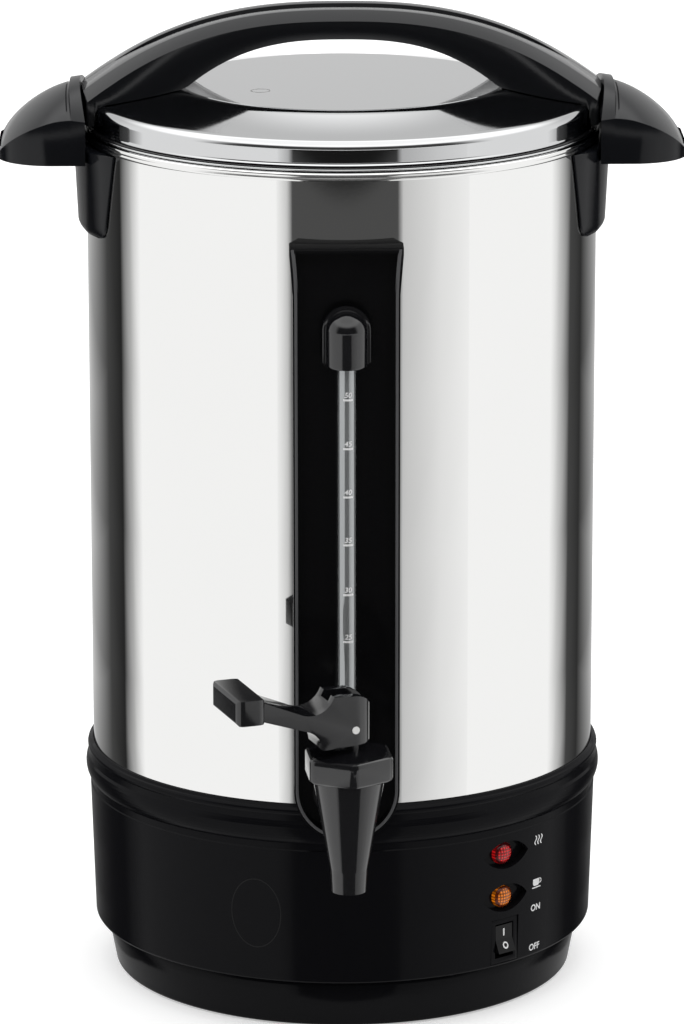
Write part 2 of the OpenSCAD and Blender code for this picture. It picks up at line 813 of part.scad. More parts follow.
module rocker_pin() {
    color(steel) at_controls() translate([rocker_pivot_r, 0, switch_z]) rotate([90, 0, 0])
        cylinder(h = frame_body_w - frame_wall - seat_gap, r = rocker_pin_d / 2, center = true);
}

module switch_terminals() {
    tab_w = 4.8;
    tab_t = 0.8;
    tab_l = 9;
    color("gold") at_controls() for (dz = [-1, 0, 1])
        translate([frame_seat_r - frame_body_depth - seat_gap - tab_l, -tab_w / 2,
            switch_z + dz * frame_body_h * 0.32 - tab_t / 2]) cube([tab_l, tab_w, tab_t]);
}

module gauge_panel() {
    color(black) difference() {
        translate([0, -tank_r + 6, 0]) rotate([90, 0, 0]) linear_extrude(panel_depth + 6) panel_outline(0);
        cylinder(h = rim_z, r = tank_r + seat_gap);
        translate([0, -channel_floor, 0]) rotate([90, 0, 0]) linear_extrude(panel_depth) panel_outline(panel_wall);
        translate([0, 0, shank_z]) rod_y(tank_in_r, panel_front, shank_r + seat_gap);
    }
}

module gauge_tube() {
    low = tube_low_z + seat_gap;
    color([0.8, 0.85, 0.88, 0.5]) translate([0, tube_y, low]) difference() {
        cylinder(h = cap_low_z + cap_socket_h - seat_gap - low, r = tube_r);
        translate([0, 0, -over]) cylinder(h = rim_z, r = tube_r - tube_wall);
    }
}

module gauge_cap() {
    spring_z = cap_top_z - cap_r;
    color(black) difference() {
        union() {
            translate([0, tube_y, cap_low_z]) cylinder(h = cap_h - cap_r, r = cap_r);
            translate([0, tube_y, spring_z]) sphere(r = cap_r);
            translate([-cap_r * 0.8, tube_y, cap_low_z + 2])
                cube([cap_r * 1.6, -channel_floor - seat_gap - tube_y, cap_h - cap_r - 2]);
        }
        translate([-cap_d, -channel_floor - seat_gap, cap_low_z - over]) cube([2 * cap_d, cap_d, 2 * cap_h]);
        translate([0, tube_y, cap_low_z - over]) cylinder(h = cap_socket_h + over, r = tube_r + seat_gap);
        translate([0, tube_y, cap_low_z - over]) cylinder(h = seal_h + 2 * seat_gap + over, r = tube_r + 2);
    }
}

module gauge_seals() {
    color(silicone) for (z = [socket_top_z - seal_h, cap_low_z + seat_gap])
        translate([0, tube_y, z]) difference() {
            cylinder(h = seal_h, r = tube_r + 2 - seat_gap);
            translate([0, 0, -over]) cylinder(h = seal_h + 2 * over, r = tube_r + seat_gap / 2);
        }
}

module tap_body() {
    flange_from = channel_floor + seat_gap + outer_gasket_t + seat_gap;
    color(black) difference() {
        union() {
            translate([0, -tap_y, 0]) rotate_extrude() polygon([
                [0, spout_low_z], [spout_r - 0.6, spout_low_z], [spout_r, cone_low_z],
                [cone_top_d / 2, cone_top_z], [neck_r, cone_top_z],
                [neck_r, cone_top_z + neck_h], [0, cone_top_z + neck_h]
            ]);
            translate([0, 0, shank_z]) rod_y(shank_in_y, tap_y, shank_r);
            translate([0, 0, shank_z]) rod_y(flange_from, flange_from + flange_len, flange_r);
            translate([0, tube_y, shank_z]) cylinder(h = socket_top_z - shank_z, r = socket_r);
        }
        translate([0, -tap_y, seat_z]) cylinder(h = rim_z, r = chamber_r);
        translate([0, -tap_y, spout_low_z - over]) cylinder(h = seat_z, r = spout_bore_r);
        translate([0, 0, shank_z]) rod_y(shank_in_y - over, tap_y, shank_bore_r);
        translate([0, tube_y, shank_z]) cylinder(h = rim_z, r = tube_r - tube_wall);
        translate([0, tube_y, tube_low_z]) cylinder(h = rim_z, r = tube_r + seat_gap);
        translate([0, tube_y, socket_top_z - seal_h - seat_gap]) cylinder(h = rim_z, r = tube_r + 2);
    }
}

module tap_outer_gasket() {
    color(silicone) translate([0, 0, shank_z]) difference() {
        rod_y(channel_floor + seat_gap, channel_floor + seat_gap + outer_gasket_t, flange_r - 1);
        rod_y(channel_floor - over, channel_floor + 3 * outer_gasket_t, shank_r + seat_gap / 2);
    }
}

module tap_inner_gasket() {
    from = shank_in_y + 2 + lock_nut_t + seat_gap;
    color(silicone) intersection() {
        cylinder(h = rim_z, r = tank_in_r - seat_gap);
        translate([0, 0, shank_z]) difference() {
            rod_y(from, tank_in_r, flange_r);
            rod_y(from - over, tank_r, shank_r + seat_gap / 2);
        }
    }
}

module tap_lock_nut() {
    color("ivory") translate([0, -shank_in_y - 2, shank_z]) rotate([90, 0, 0]) difference() {
        cylinder(h = lock_nut_t, d = lock_nut_d, $fn = 6);
        translate([0, 0, -over]) cylinder(h = lock_nut_t + 2 * over, r = shank_r + seat_gap / 2);
    }
}

module tap_bonnet() {
    low_z = cone_top_z + seat_gap;
    hex_turn = 96;
    chamfer = 2.4;
    hex_r = hex_d / 2;
    color(black) translate([0, -tap_y, 0]) difference() {
        union() {
            intersection() {
                translate([0, 0, low_z]) rotate([0, 0, hex_turn]) cylinder(h = hex_h, r = hex_r, $fn = 6);
                rotate_extrude() polygon([
                    [0, low_z - over], [hex_r - 4, low_z - over], [hex_r + 1, low_z + chamfer],
                    [hex_r + 1, hex_top_z - 1.4], [hex_r - 2.6, hex_top_z + over], [0, hex_top_z + over]
                ]);
            }
            translate([0, 0, hex_top_z - over]) cylinder(h = over, r = hex_r * 0.8);
            translate([0, 0, hex_top_z]) cylinder(h = crown_rise, r1 = hex_r * 0.8, r2 = hex_r * 0.42);
        }
        translate([0, 0, low_z - over]) cylinder(h = ceiling_z - low_z + over, r = neck_r + seat_gap);
        cylinder(h = rim_z, r = stem_r + pin_gap);
    }
}

module bonnet_gasket() {
    color(silicone) translate([0, -tap_y, cone_top_z + neck_h + seat_gap / 2]) difference() {
        cylinder(h = ceiling_z - cone_top_z - neck_h - seat_gap, r = neck_r - 0.1);
        translate([0, 0, -over]) cylinder(h = hex_h, r = chamber_r + 0.6);
    }
}

module seat_cup() {
    color(silicone) translate([0, -tap_y, 0]) difference() {
        rotate_extrude() polygon(concat(
            [[0, cup_low_z]], [[cup_r - 1.6, cup_low_z]],
            arc([cup_r - 1.6, cup_low_z + 1.6], 1.6, -90, 0, 4),
            [[cup_r, cup_low_z + 3], [cup_r - 1.4, cup_low_z + cup_h], [0, cup_low_z + cup_h]]
        ));
        translate([0, 0, bulb_low_z - run_gap]) cylinder(h = bulb_h + 2 * run_gap, r = stem_r + run_gap);
        translate([0, 0, bulb_low_z]) cylinder(h = cup_h, r = bulb_neck_r + pin_gap);
    }
}

module valve_stem() {
    top = pin_z + 6;
    color(black) translate([0, -tap_y, 0]) difference() {
        rotate_extrude() polygon([
            [0, bulb_low_z], [stem_r, bulb_low_z], [stem_r, bulb_low_z + bulb_h],
            [bulb_neck_r, bulb_low_z + bulb_h], [bulb_neck_r, cup_low_z + cup_h + run_gap],
            [stem_r, cup_low_z + cup_h + 1.2], [stem_r, collar_z], [collar_r, collar_z],
            [collar_r, collar_z + collar_t], [stem_r, collar_z + collar_t],
            [stem_r, top - 2], [stem_r - 1.6, top], [0, top]
        ]);
        translate([0, 0, pin_z]) rotate([0, 0, lever_turn]) rotate([90, 0, 0])
            cylinder(h = 2 * stem_d, r = pin_r + pin_gap, center = true);
    }
}

module valve_spring() {
    rings = spring_turns * 16;
    sides = 6;
    wire_r = spring_wire_d / 2;
    climb = spring_top_z - spring_low_z - spring_wire_d;
    points = [for (i = [0:rings], k = [0:sides - 1])
        let (turn = 360 * spring_turns * i / rings, a = 360 * k / sides, r = spring_r + wire_r * cos(a))
            [r * cos(turn), r * sin(turn), wire_r + climb * i / rings + wire_r * sin(a)]];
    sleeve = [for (i = [0:rings - 1], k = [0:sides - 1], half = [0, 1])
        let (a = i * sides + k, b = i * sides + (k + 1) % sides)
            half == 0 ? [a, a + sides, b] : [b, a + sides, b + sides]];
    first = [for (k = [1:sides - 2]) [0, k, k + 1]];
    last = [for (k = [1:sides - 2]) [rings * sides, rings * sides + k + 1, rings * sides + k]];
    color(steel) translate([0, -tap_y, spring_low_z]) polyhedron(points, concat(sleeve, first, last));
}

// The side view of the lever, with the pin at the origin and the arm towards +X
module lever_side() {
    back = yoke_half + over;
    crest_r = yoke_half + 0.8;
    arm_end = lever_len - 2;
    arm_low = lever_rise - bar_d / 2 + 0.4;
    arm_top = lever_rise + bar_d / 2 - 1.6;
    polygon(concat(
        [[-back, -4.6], [-4.6, 1 - lip_low], [lip_x - 1.4, -lip_low - 0.2], [lip_x, -lip_low]],
        arc([lip_x + 9, -lip_low], 8.8, 178, 112, 6),
        [[arm_end, arm_low], [arm_end, arm_top]],
        arc([lip_x + 5.1, hub_top + 4], 10.7, 289, 200, 8),
        [[lip_x - 5.8, hub_top + 0.2]],
        arc([0.6, hub_top - crest_r], crest_r, 84, 172, 8)
    ));
}

module tap_lever() {
    flare = 24;
    tall = 4 * hub_top;
    color(black) at_lever() difference() {
        union() {
            intersection() {
                rotate([90, 0, 0]) linear_extrude(bar_len, center = true) lever_side();
                translate([0, 0, -tall / 2]) linear_extrude(tall) {
                    circle(r = yoke_half);
                    polygon([
                        [0, -yoke_half], [flare, -yoke_half], [lever_len, -bar_len / 4],
                        [lever_len, bar_len / 4], [flare, yoke_half], [0, yoke_half]
                    ]);
                }
            }
            cross_bar();
        }
        translate([slot_end - tall, -slot_half, -tall / 2]) cube([tall, 2 * slot_half, tall]);
        rotate([90, 0, 0]) cylinder(h = 2 * bar_len, r = pin_r + seat_gap / 4, center = true);
    }
}

// The cross bar that the finger presses, crowned in section and rounded at its ends
module cross_bar() {
    end_r = 3.4;
    side = bar_d * 1.18;
    half = bar_len / 2;
    translate([lever_len, 0, lever_rise]) intersection() {
        rotate([90, 0, 0]) linear_extrude(bar_len, center = true) intersection() {
            square([side, bar_d], center = true);
            circle(r = bar_d * 0.7);
        }
        translate([0, 0, -bar_d]) linear_extrude(2 * bar_d) {
            square([side, bar_len - 2 * end_r], center = true);
            square([side - 2 * end_r, bar_len], center = true);
            for (x = [-1, 1], y = [-1, 1])
                translate([x * (side / 2 - end_r), y * (half - end_r)]) circle(r = end_r);
        }
    }
}

module lever_pin() {
    color("white") at_lever() rotate([90, 0, 0]) cylinder(h = yoke_w + 0.6, r = pin_r, center = true);
}

// The grip's body: a ridge line turned about a level axis, so that its top is crowned, cut to its plan
module grip(inset, low_z) {
    ridge_rise = wing_h - wing_tip_rise;
    reach = wing_len - inset;
    half = wing_half - inset;
    corner = 24 - inset;
    steps = 10;
    intersection() {
        translate([wing_root, 0, crown_z]) rotate([0, 90, 0]) rotate_extrude() polygon(concat(
            [[0, -over], [crown_r - inset, -over]],
            [for (i = [0:steps])
                let (a = 90 * i / steps)
                    [crown_r - inset - ridge_rise * (1 - pow(cos(a), wing_power)), reach * pow(sin(a), wing_power)]],
            [[0, reach]]
        ));
        translate([wing_root, 0, low_z]) linear_extrude(2 * wing_h) {
            translate([-over, -half]) square([reach - corner + over, 2 * half]);
            translate([-over, corner - half]) square([reach + over, 2 * (half - corner)]);
            for (y = [-1, 1])
                translate([reach - corner, y * (half - corner)]) circle(r = corner);
        }
    }
}

module side_handle() {
    turn = 40;
    difference() {
        union() {
            grip(0, wing_low_z);
            // The collar beside the end of the lid arch
            intersection() {
                translate([wing_root, 0, crown_z]) rotate([0, 90, 0])
                    translate([0, 0, -over]) cylinder(h = collar_w + over, r = crown_r + collar_rise);
                translate([wing_root - over, -wing_half, wing_low_z])
                    cube([collar_w + over, 2 * wing_half, 2 * wing_h]);
            }
            // The leg that wraps the tank
            intersection() {
                rotate([0, 0, -turn]) rotate_extrude(angle = 2 * turn) polygon([
                    [tank_r, leg_low_z], [lower_in_r + leg_t, leg_low_z],
                    [lower_in_r + leg_root_t, wing_low_z], [lower_in_r + leg_root_t, rim_z], [tank_r, rim_z]
                ]);
                rotate([90, 0, 90]) linear_extrude(2 * tank_r) leg_front();
            }
        }
        translate([0, 0, leg_low_z - over]) cylinder(h = 4 * wing_h + leg_h, r = lower_in_r);
        translate([0, -2 * wing_half, step_z]) cube([upper_in_r, 4 * wing_half, 2 * wing_h]);
        // The hollow of the grip, between the collar and the outer wall
        difference() {
            grip(wing_wall, wing_low_z - over);
            translate([0, -2 * wing_half, 0]) cube([upper_in_r + wing_wall + 1, 4 * wing_half, 2 * rim_z]);
            for (y = [-1, 1])
                translate([tank_r, y * wing_half * 0.62 - 1, 0]) cube([wing_len * 0.45, 2, 2 * rim_z]);
        }
        for (drop = handle_screw_drop)
            translate([0, 0, step_z - drop]) rod_x(tank_r - over, lower_in_r + 2.4, handle_screw_r + seat_gap / 4);
    }
}

// The leg seen from its side, with rounded lower corners
module leg_front() {
    corner = 7;
    polygon([
        [-leg_foot_half, leg_low_z + corner], [leg_foot_half, leg_low_z + corner],
        [leg_top_half, step_z], [leg_top_half, rim_z], [-leg_top_half, rim_z], [-leg_top_half, step_z]
    ]);
    translate([-leg_foot_half + corner, leg_low_z]) square([2 * (leg_foot_half - corner), corner + over]);
    for (y = [-1, 1])
        translate([y * (leg_foot_half - corner), leg_low_z + corner]) circle(r = corner);
}

module handle_right() {
    color(black) side_handle();
}

module handle_left() {
    color(black) mirror([1, 0, 0]) side_handle();
}

module handle_screws() {
    color(steel) for (side = [0, 180], drop = handle_screw_drop)
        rotate([0, 0, side]) translate([0, 0, step_z - drop]) {
            rod_x(tank_in_r - seat_gap - screw_head_t, tank_in_r - seat_gap, screw_head_r);
            rod_x(tank_in_r - 2 * seat_gap, lower_in_r + 2, handle_screw_r);
        }
}

module lid_dish() {
    inner_r = lid_band_r - lid_sheet;
    under = dome_radii(inner_r - 0.6);
    color(steel) difference() {
        rotate_extrude() polygon(concat(
            [for (r = dome_radii(dome_r)) [r, dome_z(r)]],
            [[lip_r, shoulder_z - 0.7], [lip_r, shoulder_z - 1.1], [lid_band_r, shoulder_z - 1.3]],
            [[lid_band_r, flange_z + lid_sheet + 0.8], [lid_band_r + 0.8, flange_z + lid_sheet]],
            [[lid_flange_r - 0.3, flange_z + lid_sheet], [lid_flange_r, flange_z + lid_sheet / 2]],
            [[lid_flange_r - 0.3, flange_z], [tank_r - 0.1, flange_z], [tank_r - 0.3, lid_seat_z]],
            [[skirt_r, lid_seat_z], [skirt_r, lid_seat_z - skirt_h], [skirt_r - lid_sheet, lid_seat_z - skirt_h]],
            [[skirt_r - lid_sheet, lid_seat_z], [inner_r, lid_seat_z + 0.6], [inner_r, shoulder_z - 2]],
            [for (i = [len(under) - 1:-1:0]) [under[i], dome_z(under[i]) - lid_sheet]]
        ));
        translate([vent_x, vent_y, shoulder_z]) cylinder(h = 2 * dome_h, r = vent_r);
        for (x = [-1, 1], y = [-1, 1])
            translate([x * lid_screw_x, y * lid_screw_y, shoulder_z - over])
                cylinder(h = 2 * dome_h, r = lid_screw_r + seat_gap);
    }
}

// Stations along the arch as shares of its end radius, closer together at the hook over the lid rim
function arch_stations() =
    let (half = concat([for (i = [1:9]) 0.1 * i], [0.93, 0.955, hook_r / arch_end_r - 0.002,
        hook_r / arch_end_r + 0.002, 0.988, 1]))
        concat([for (i = [len(half) - 1:-1:0]) -half[i]], [0], half);

// A point of the arch at station u, at a distance y from its middle line
function arch_xy(u, y) =
    abs(u) < 0.9
        ? [u / 0.9 * sqrt(pow(0.9 * arch_end_r, 2) - y * y), y]
        : [sign(u) * sqrt(pow(u * arch_end_r, 2) - y * y), y];
function arch_top(u) = arch_top_z - arch_drop * pow(abs(u), arch_bow);
function arch_under(u) =
    arch_top_z - arch_t - arch_under_drop * pow(abs(u) * arch_end_r / arch_span, arch_under_bow);
function lid_top(r) = r < dome_r ? dome_z(r) : shoulder_z;
function arch_low(u, p) =
    let (r = norm(p))
        r > hook_r ? hook_low_z : max(arch_under(u), lid_top(r) + arch_gap);
function arch_widths(u) =
    let (spread = u * u, flat = arch_flat_w / 2 + 7 * spread, face = flat + 7.5 + spread)
        [flat, face, face + (arch_foot_w / 2 - face) * pow(abs(u), 3) - arch_tuck(u)];
// How far the foot of the arch's side stands behind its top edge
function arch_tuck(u) =
    let (low = max(arch_under(u), lid_top(0)))
        arch_lean * max(0, arch_top(u) - arch_chamfer - low) * (1 - pow(u, 6));
function groove_at(u) = max(0.1, groove_depth * min(1, max(0, (0.87 - abs(u)) * 20)));

// One ring of points round the arch: five below, then up the right side, over the groove and down the left
function arch_ring(u) =
    let (w = arch_widths(u), top = arch_top(u), g = groove_w / 2)
        concat(
            [for (s = [-1, -0.5, 0, 0.5, 1])
                let (p = arch_xy(u, s * w[2])) [p[0], p[1], min(arch_low(u, p), top - arch_chamfer - 1)]],
            [for (q = [[w[1], arch_chamfer], [w[0], 0], [g, 0], [g, groove_at(u)],
                    [-g, groove_at(u)], [-g, 0], [-w[0], 0], [-w[1], arch_chamfer]])
                let (p = arch_xy(u, q[0])) [p[0], p[1], top - q[1]]]
        );

module lid_handle() {
    stations = arch_stations();
    rings = [for (u = stations) arch_ring(u)];
    n = len(rings[0]);
    last = len(rings) - 1;
    ends = [for (s = [-1, 1]) [s * arch_end_r, 0, (hook_low_z + arch_top(1)) / 2]];
    points = concat([for (ring = rings, p = ring) p], ends);
    skin = [for (i = [0:last - 1], k = [0:n - 1], half = [0, 1])
        let (a = i * n + k, b = i * n + (k + 1) % n)
            half == 0 ? [a, b, a + n] : [b, b + n, a + n]];
    caps = [for (k = [0:n - 1], side = [0, 1])
        let (a = side * last * n + k, b = side * last * n + (k + 1) % n, c = len(points) - 2 + side)
            side == 0 ? [a, c, b] : [a, b, c]];
    color(black) difference() {
        polyhedron(points, concat(skin, caps));
        for (x = [-1, 1], y = [-1, 1])
            translate([x * lid_screw_x, y * lid_screw_y, shoulder_z - over])
                cylinder(h = lid_screw_len + over, r = lid_screw_r + seat_gap / 4);
    }
}

module lid_handle_screws() {
    head_z = dome_z(norm([lid_screw_x, lid_screw_y]) + lid_screw_r + 2.4) - lid_sheet - seat_gap - 2;
    color(steel) for (x = [-1, 1], y = [-1, 1])
        translate([x * lid_screw_x, y * lid_screw_y, head_z]) {
            cylinder(h = 2, r = lid_screw_r + 2);
            cylinder(h = shoulder_z + lid_screw_len - 0.5 - head_z, r = lid_screw_r);
        }
}

module pump_foot() {
    sleeve_top = foot_seat_z + foot_dish_h + 14;
    bore = pump_r + seat_gap / 2;
    color("silver") rotate_extrude() polygon([
        [foot_dish_r - perc_sheet, foot_seat_z], [foot_dish_r, foot_seat_z],
        [foot_dish_r, foot_seat_z + 2], [sleeve_r, foot_seat_z + foot_dish_h],
        [sleeve_r, sleeve_top], [bore, sleeve_top], [bore, foot_seat_z + foot_dish_h],
        [bore - perc_sheet, foot_seat_z + foot_dish_h - perc_sheet],
        [foot_dish_r - perc_sheet, foot_seat_z + 2 - perc_sheet]
    ]);
}

module pump_tube() {
    low = foot_seat_z + foot_dish_h + seat_gap;
    shoulder = 3;
    seat = basket_low_z - seat_gap;
    color("silver") difference() {
        union() {
            translate([0, 0, low]) cylinder(h = pump_top_z - low, r = pump_r);
            translate([0, 0, seat - shoulder]) cylinder(h = shoulder, r = sleeve_r + 2);
        }
        translate([0, 0, low - over]) cylinder(h = pump_top_z, r = pump_r - perc_sheet);
    }
}

// Rings of small holes about the centre, between two radii
module hole_rings(from, to, rows, h) {
    for (row = [0:rows - 1])
        let (at = from + (to - from) * row / (rows - 1), count = 6 + 4 * row)
            for (i = [0:count - 1])
                rotate([0, 0, 360 * i / count]) translate([at, 0, 0]) cylinder(h = h, r = hole_r, $fn = 24);
}

module coffee_basket() {
    bore = pump_r + seat_gap;
    color("silver") difference() {
        rotate_extrude() polygon([
            [bore, basket_low_z], [basket_r - 4, basket_low_z], [basket_r, basket_low_z + 4],
            [basket_r, basket_top_z - 1], [basket_r + 1.5, basket_top_z], [basket_r - perc_sheet, basket_top_z],
            [basket_r - perc_sheet, basket_low_z + 4.4], [basket_r - 4.4, basket_low_z + perc_sheet],
            [bore + perc_sheet, basket_low_z + perc_sheet], [bore + perc_sheet, basket_top_z - 6],
            [bore, basket_top_z - 6]
        ]);
        translate([0, 0, basket_low_z - over])
            hole_rings(sleeve_r + 12, basket_r - 14, basket_rows, perc_sheet + 2 * over);
    }
}

module basket_cover() {
    bore = pump_r + seat_gap;
    low = basket_top_z + seat_gap;
    color("silver") difference() {
        rotate_extrude() polygon([
            [bore, low], [basket_r - 6, low], [basket_r - 4, low + 3], [basket_r + 1.5, low + 3],
            [basket_r + 1.5, low], [basket_r + 1.5 + perc_sheet, low - 2], [basket_r + 1.5 + perc_sheet, low + 3.8],
            [basket_r - 4.6, low + 3.8], [basket_r - 6.6, low + perc_sheet], [bore + perc_sheet, low + perc_sheet],
            [bore + perc_sheet, low + 5], [bore, low + 5]
        ]);
        translate([0, 0, low - over]) hole_rings(sleeve_r + 10, basket_r - 16, basket_rows, perc_sheet + 2 * over);
    }
}

tank_shell();
tank_studs();
heater_plate();
heater_element();
heater_clamp();
heat_shield();
stud_nuts();
brew_thermostat();
warm_thermostat();
thermal_fuse();
base_housing();
bottom_cover();
cover_screws();
foot_ring();
terminal_block();
cord_gland();
heating_lens();
warming_lens();
lamp_bodies();
switch_frame();
switch_rocker();
rocker_pin();
switch_terminals();
gauge_panel();
gauge_tube();
gauge_cap();
gauge_seals();
tap_body();
tap_outer_gasket();
tap_inner_gasket();
tap_lock_nut();
tap_bonnet();
bonnet_gasket();
seat_cup();
valve_stem();
valve_spring();
tap_lever();
lever_pin();
handle_left();
handle_right();
handle_screws();
lid_dish();
lid_handle();
lid_handle_screws();
pump_foot();
pump_tube();
coffee_basket();
basket_cover();
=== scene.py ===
"""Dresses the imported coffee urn: polished steel, black mouldings, sight gauge, lamps and lever tap."""

import logging
import math
from collections.abc import Callable, Iterable, Sequence
from dataclasses import dataclass, field
from enum import Enum

import bmesh
import bpy
from mathutils import Matrix, Vector

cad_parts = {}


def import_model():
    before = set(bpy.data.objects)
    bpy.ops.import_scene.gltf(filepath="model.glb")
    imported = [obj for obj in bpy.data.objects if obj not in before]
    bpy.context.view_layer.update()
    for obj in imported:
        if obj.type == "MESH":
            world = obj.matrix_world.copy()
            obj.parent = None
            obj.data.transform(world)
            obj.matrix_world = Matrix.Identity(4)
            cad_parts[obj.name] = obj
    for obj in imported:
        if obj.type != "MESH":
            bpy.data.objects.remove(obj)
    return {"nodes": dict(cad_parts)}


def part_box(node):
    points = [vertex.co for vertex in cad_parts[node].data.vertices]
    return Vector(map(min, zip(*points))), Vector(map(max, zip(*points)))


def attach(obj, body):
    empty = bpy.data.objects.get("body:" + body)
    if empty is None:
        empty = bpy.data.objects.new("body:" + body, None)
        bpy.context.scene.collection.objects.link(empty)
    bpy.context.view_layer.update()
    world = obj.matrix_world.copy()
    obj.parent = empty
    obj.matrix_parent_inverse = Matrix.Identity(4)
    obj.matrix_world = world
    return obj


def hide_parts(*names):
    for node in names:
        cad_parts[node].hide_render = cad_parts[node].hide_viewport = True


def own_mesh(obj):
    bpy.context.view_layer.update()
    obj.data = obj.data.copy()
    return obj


LOG = logging.getLogger("coffee_urn")
MM = 0.001
SAME_PLACE = 1e-6
RING_SWEEP = 358.8
RAY_START = 0.02
RAY_REACH = 0.04
LETTER_SIZE = 0.01
LETTER_WEIGHT = 0.0002
LETTER_THICK = 0.00003
Point2 = tuple[float, float]
Point3 = tuple[float, float, float]
Colour = tuple[float, float, float]


class Body(str, Enum):
    """The moving bodies of the urn that a piece can ride on."""

    URN = "urn"
    LID = "lid"
    ROCKER = "rocker"


class Slot(str, Enum):
    """Names of the material slots; the new pieces here take their finish from the finishes below, not from these."""

    STEEL = "polished_steel"
    BLACK = "gloss_black"
    RED = "red_lens"
    AMBER = "amber_lens"
    WHITE = "white_plastic"


class Surface(str, Enum):
    """The shader recipes that a finish can follow."""

    METAL = "metal"
    PLASTIC = "plastic"
    RUBBER = "rubber"
    GLASS = "glass"
    LIT_LENS = "lit_lens"
    PRINT = "print"


Colour4 = tuple[float, float, float, float]
WHITE: Colour4 = (1.0, 1.0, 1.0, 1.0)
LENS_DARK = 0.10
SHINE: dict[Surface, float] = {Surface.METAL: 1.0, Surface.GLASS: 0.68}


@dataclass(frozen=True)
class Finish:
    """One finish: its colour, gloss and the scale of its surface detail."""

    name: str
    surface: Surface
    colour: Colour
    roughness: float
    grain: float = 900.0
    bump: float = 0.02
    mottle: float = 0.06
    specular: float = 0.5
    glow: float = 0.0
    veil: float = 0.0


POLISHED_STEEL = Finish(
    "polished_tank_steel", Surface.METAL, (0.88, 0.88, 0.87), 0.035, grain=420.0, bump=0.003, mottle=0.02,
)
MIRROR_STEEL = Finish(
    "mirror_lid_steel", Surface.METAL, (0.66, 0.665, 0.67), 0.040, grain=300.0, bump=0.003, mottle=0.02,
)
FIXING_STEEL = Finish("fixing_steel", Surface.METAL, (0.60, 0.60, 0.59), 0.34, grain=700.0, bump=0.03)
SHEATH = Finish("element_sheath", Surface.METAL, (0.26, 0.25, 0.24), 0.46, grain=500.0, bump=0.05)
ALUMINIUM = Finish("percolator_aluminium", Surface.METAL, (0.76, 0.77, 0.78), 0.32, grain=600.0, bump=0.03)
BRASS = Finish("contact_brass", Surface.METAL, (0.78, 0.58, 0.26), 0.30, grain=600.0, bump=0.03)
COVER_PAINT = Finish("cover_paint", Surface.PLASTIC, (0.05, 0.05, 0.055), 0.42, grain=1300.0, bump=0.06)
GLOSS_BLACK = Finish("gloss_black_moulding", Surface.PLASTIC, (0.006, 0.006, 0.007), 0.09, specular=0.78)
BASE_BLACK = Finish("base_black_moulding", Surface.PLASTIC, (0.005, 0.005, 0.006), 0.14, specular=0.20, veil=0.66)
GRIP_BLACK = Finish("grip_black_moulding", Surface.PLASTIC, (0.005, 0.0055, 0.007), 0.13, bump=0.02, specular=0.50)
WING_BLACK = Finish(
    "wing_black_moulding", Surface.PLASTIC, (0.005, 0.0055, 0.007), 0.14, bump=0.02, specular=0.45, veil=0.40,
)
PANEL_BLACK = Finish("panel_black_moulding", Surface.PLASTIC, (0.004, 0.004, 0.0045), 0.16, specular=0.20)
# Painted highlight: this grey stands in for the light lines along the black gauge panel's edges.
EDGE_HIGHLIGHT_GREY = Finish("panel_edge_highlight_grey", Surface.PLASTIC, (0.085, 0.085, 0.088), 0.30, specular=0.30, mottle=0.05)
FOOT_RUBBER = Finish("foot_rubber", Surface.RUBBER, (0.030, 0.030, 0.032), 0.75, grain=1600.0, bump=0.12)
SILICONE = Finish("seal_silicone", Surface.RUBBER, (0.70, 0.68, 0.63), 0.55, grain=900.0, bump=0.05)
CERAMIC = Finish("ceramic_white", Surface.PLASTIC, (0.82, 0.80, 0.75), 0.50, grain=1100.0, bump=0.08)
WHITE_PLASTIC = Finish("white_moulding", Surface.PLASTIC, (0.82, 0.82, 0.80), 0.40, grain=1100.0, bump=0.04)
SIGHT_GLASS = Finish("silvered_sight_glass", Surface.GLASS, (0.40, 0.415, 0.42), 0.10)
RED_LENS = Finish("red_lens", Surface.LIT_LENS, (0.62, 0.010, 0.012), 0.16, glow=0.75)
AMBER_LENS = Finish("amber_lens", Surface.LIT_LENS, (0.80, 0.20, 0.006), 0.16, glow=0.75)
RED_RIM = Finish("red_lens_rim", Surface.PLASTIC, (0.090, 0.004, 0.006), 0.12, specular=0.35)
AMBER_RIM = Finish("amber_lens_rim", Surface.PLASTIC, (0.130, 0.018, 0.002), 0.12, specular=0.35)
WHITE_PRINT = Finish("white_print", Surface.PRINT, (0.80, 0.80, 0.80), 0.45)

FINISHED: tuple[tuple[Finish, str], ...] = (
    (POLISHED_STEEL, "tank_shell"),
    (MIRROR_STEEL, "lid_dish"),
    (FIXING_STEEL, "tank_studs heater_clamp stud_nuts cover_screws "
     "rocker_pin valve_spring handle_screws lid_handle_screws"),
    (WHITE_PLASTIC, "lever_pin lamp_bodies tap_lock_nut"),
    (SHEATH, "heater_element"),
    (ALUMINIUM, "pump_foot pump_tube coffee_basket basket_cover heater_plate heat_shield"),
    (COVER_PAINT, "bottom_cover"),
    (BASE_BLACK, "base_housing switch_frame"),
    (PANEL_BLACK, "switch_rocker gauge_panel"),
    (GLOSS_BLACK, "gauge_cap tap_body tap_bonnet valve_stem tap_lever"),
    (WING_BLACK, "handle_left handle_right"),
    (GRIP_BLACK, "lid_handle"),
    (FOOT_RUBBER, "foot_ring cord_gland"),
    (SILICONE, "gauge_seals tap_outer_gasket tap_inner_gasket bonnet_gasket seat_cup"),
    (CERAMIC, "brew_thermostat warm_thermostat terminal_block thermal_fuse"),
    (RED_LENS, "heating_lens"),
    (AMBER_LENS, "warming_lens"),
    (BRASS, "switch_terminals"),
    (SIGHT_GLASS, "gauge_tube"),
)
NODE_FINISH: dict[str, Finish] = {node: finish for finish, nodes in FINISHED for node in nodes.split()}


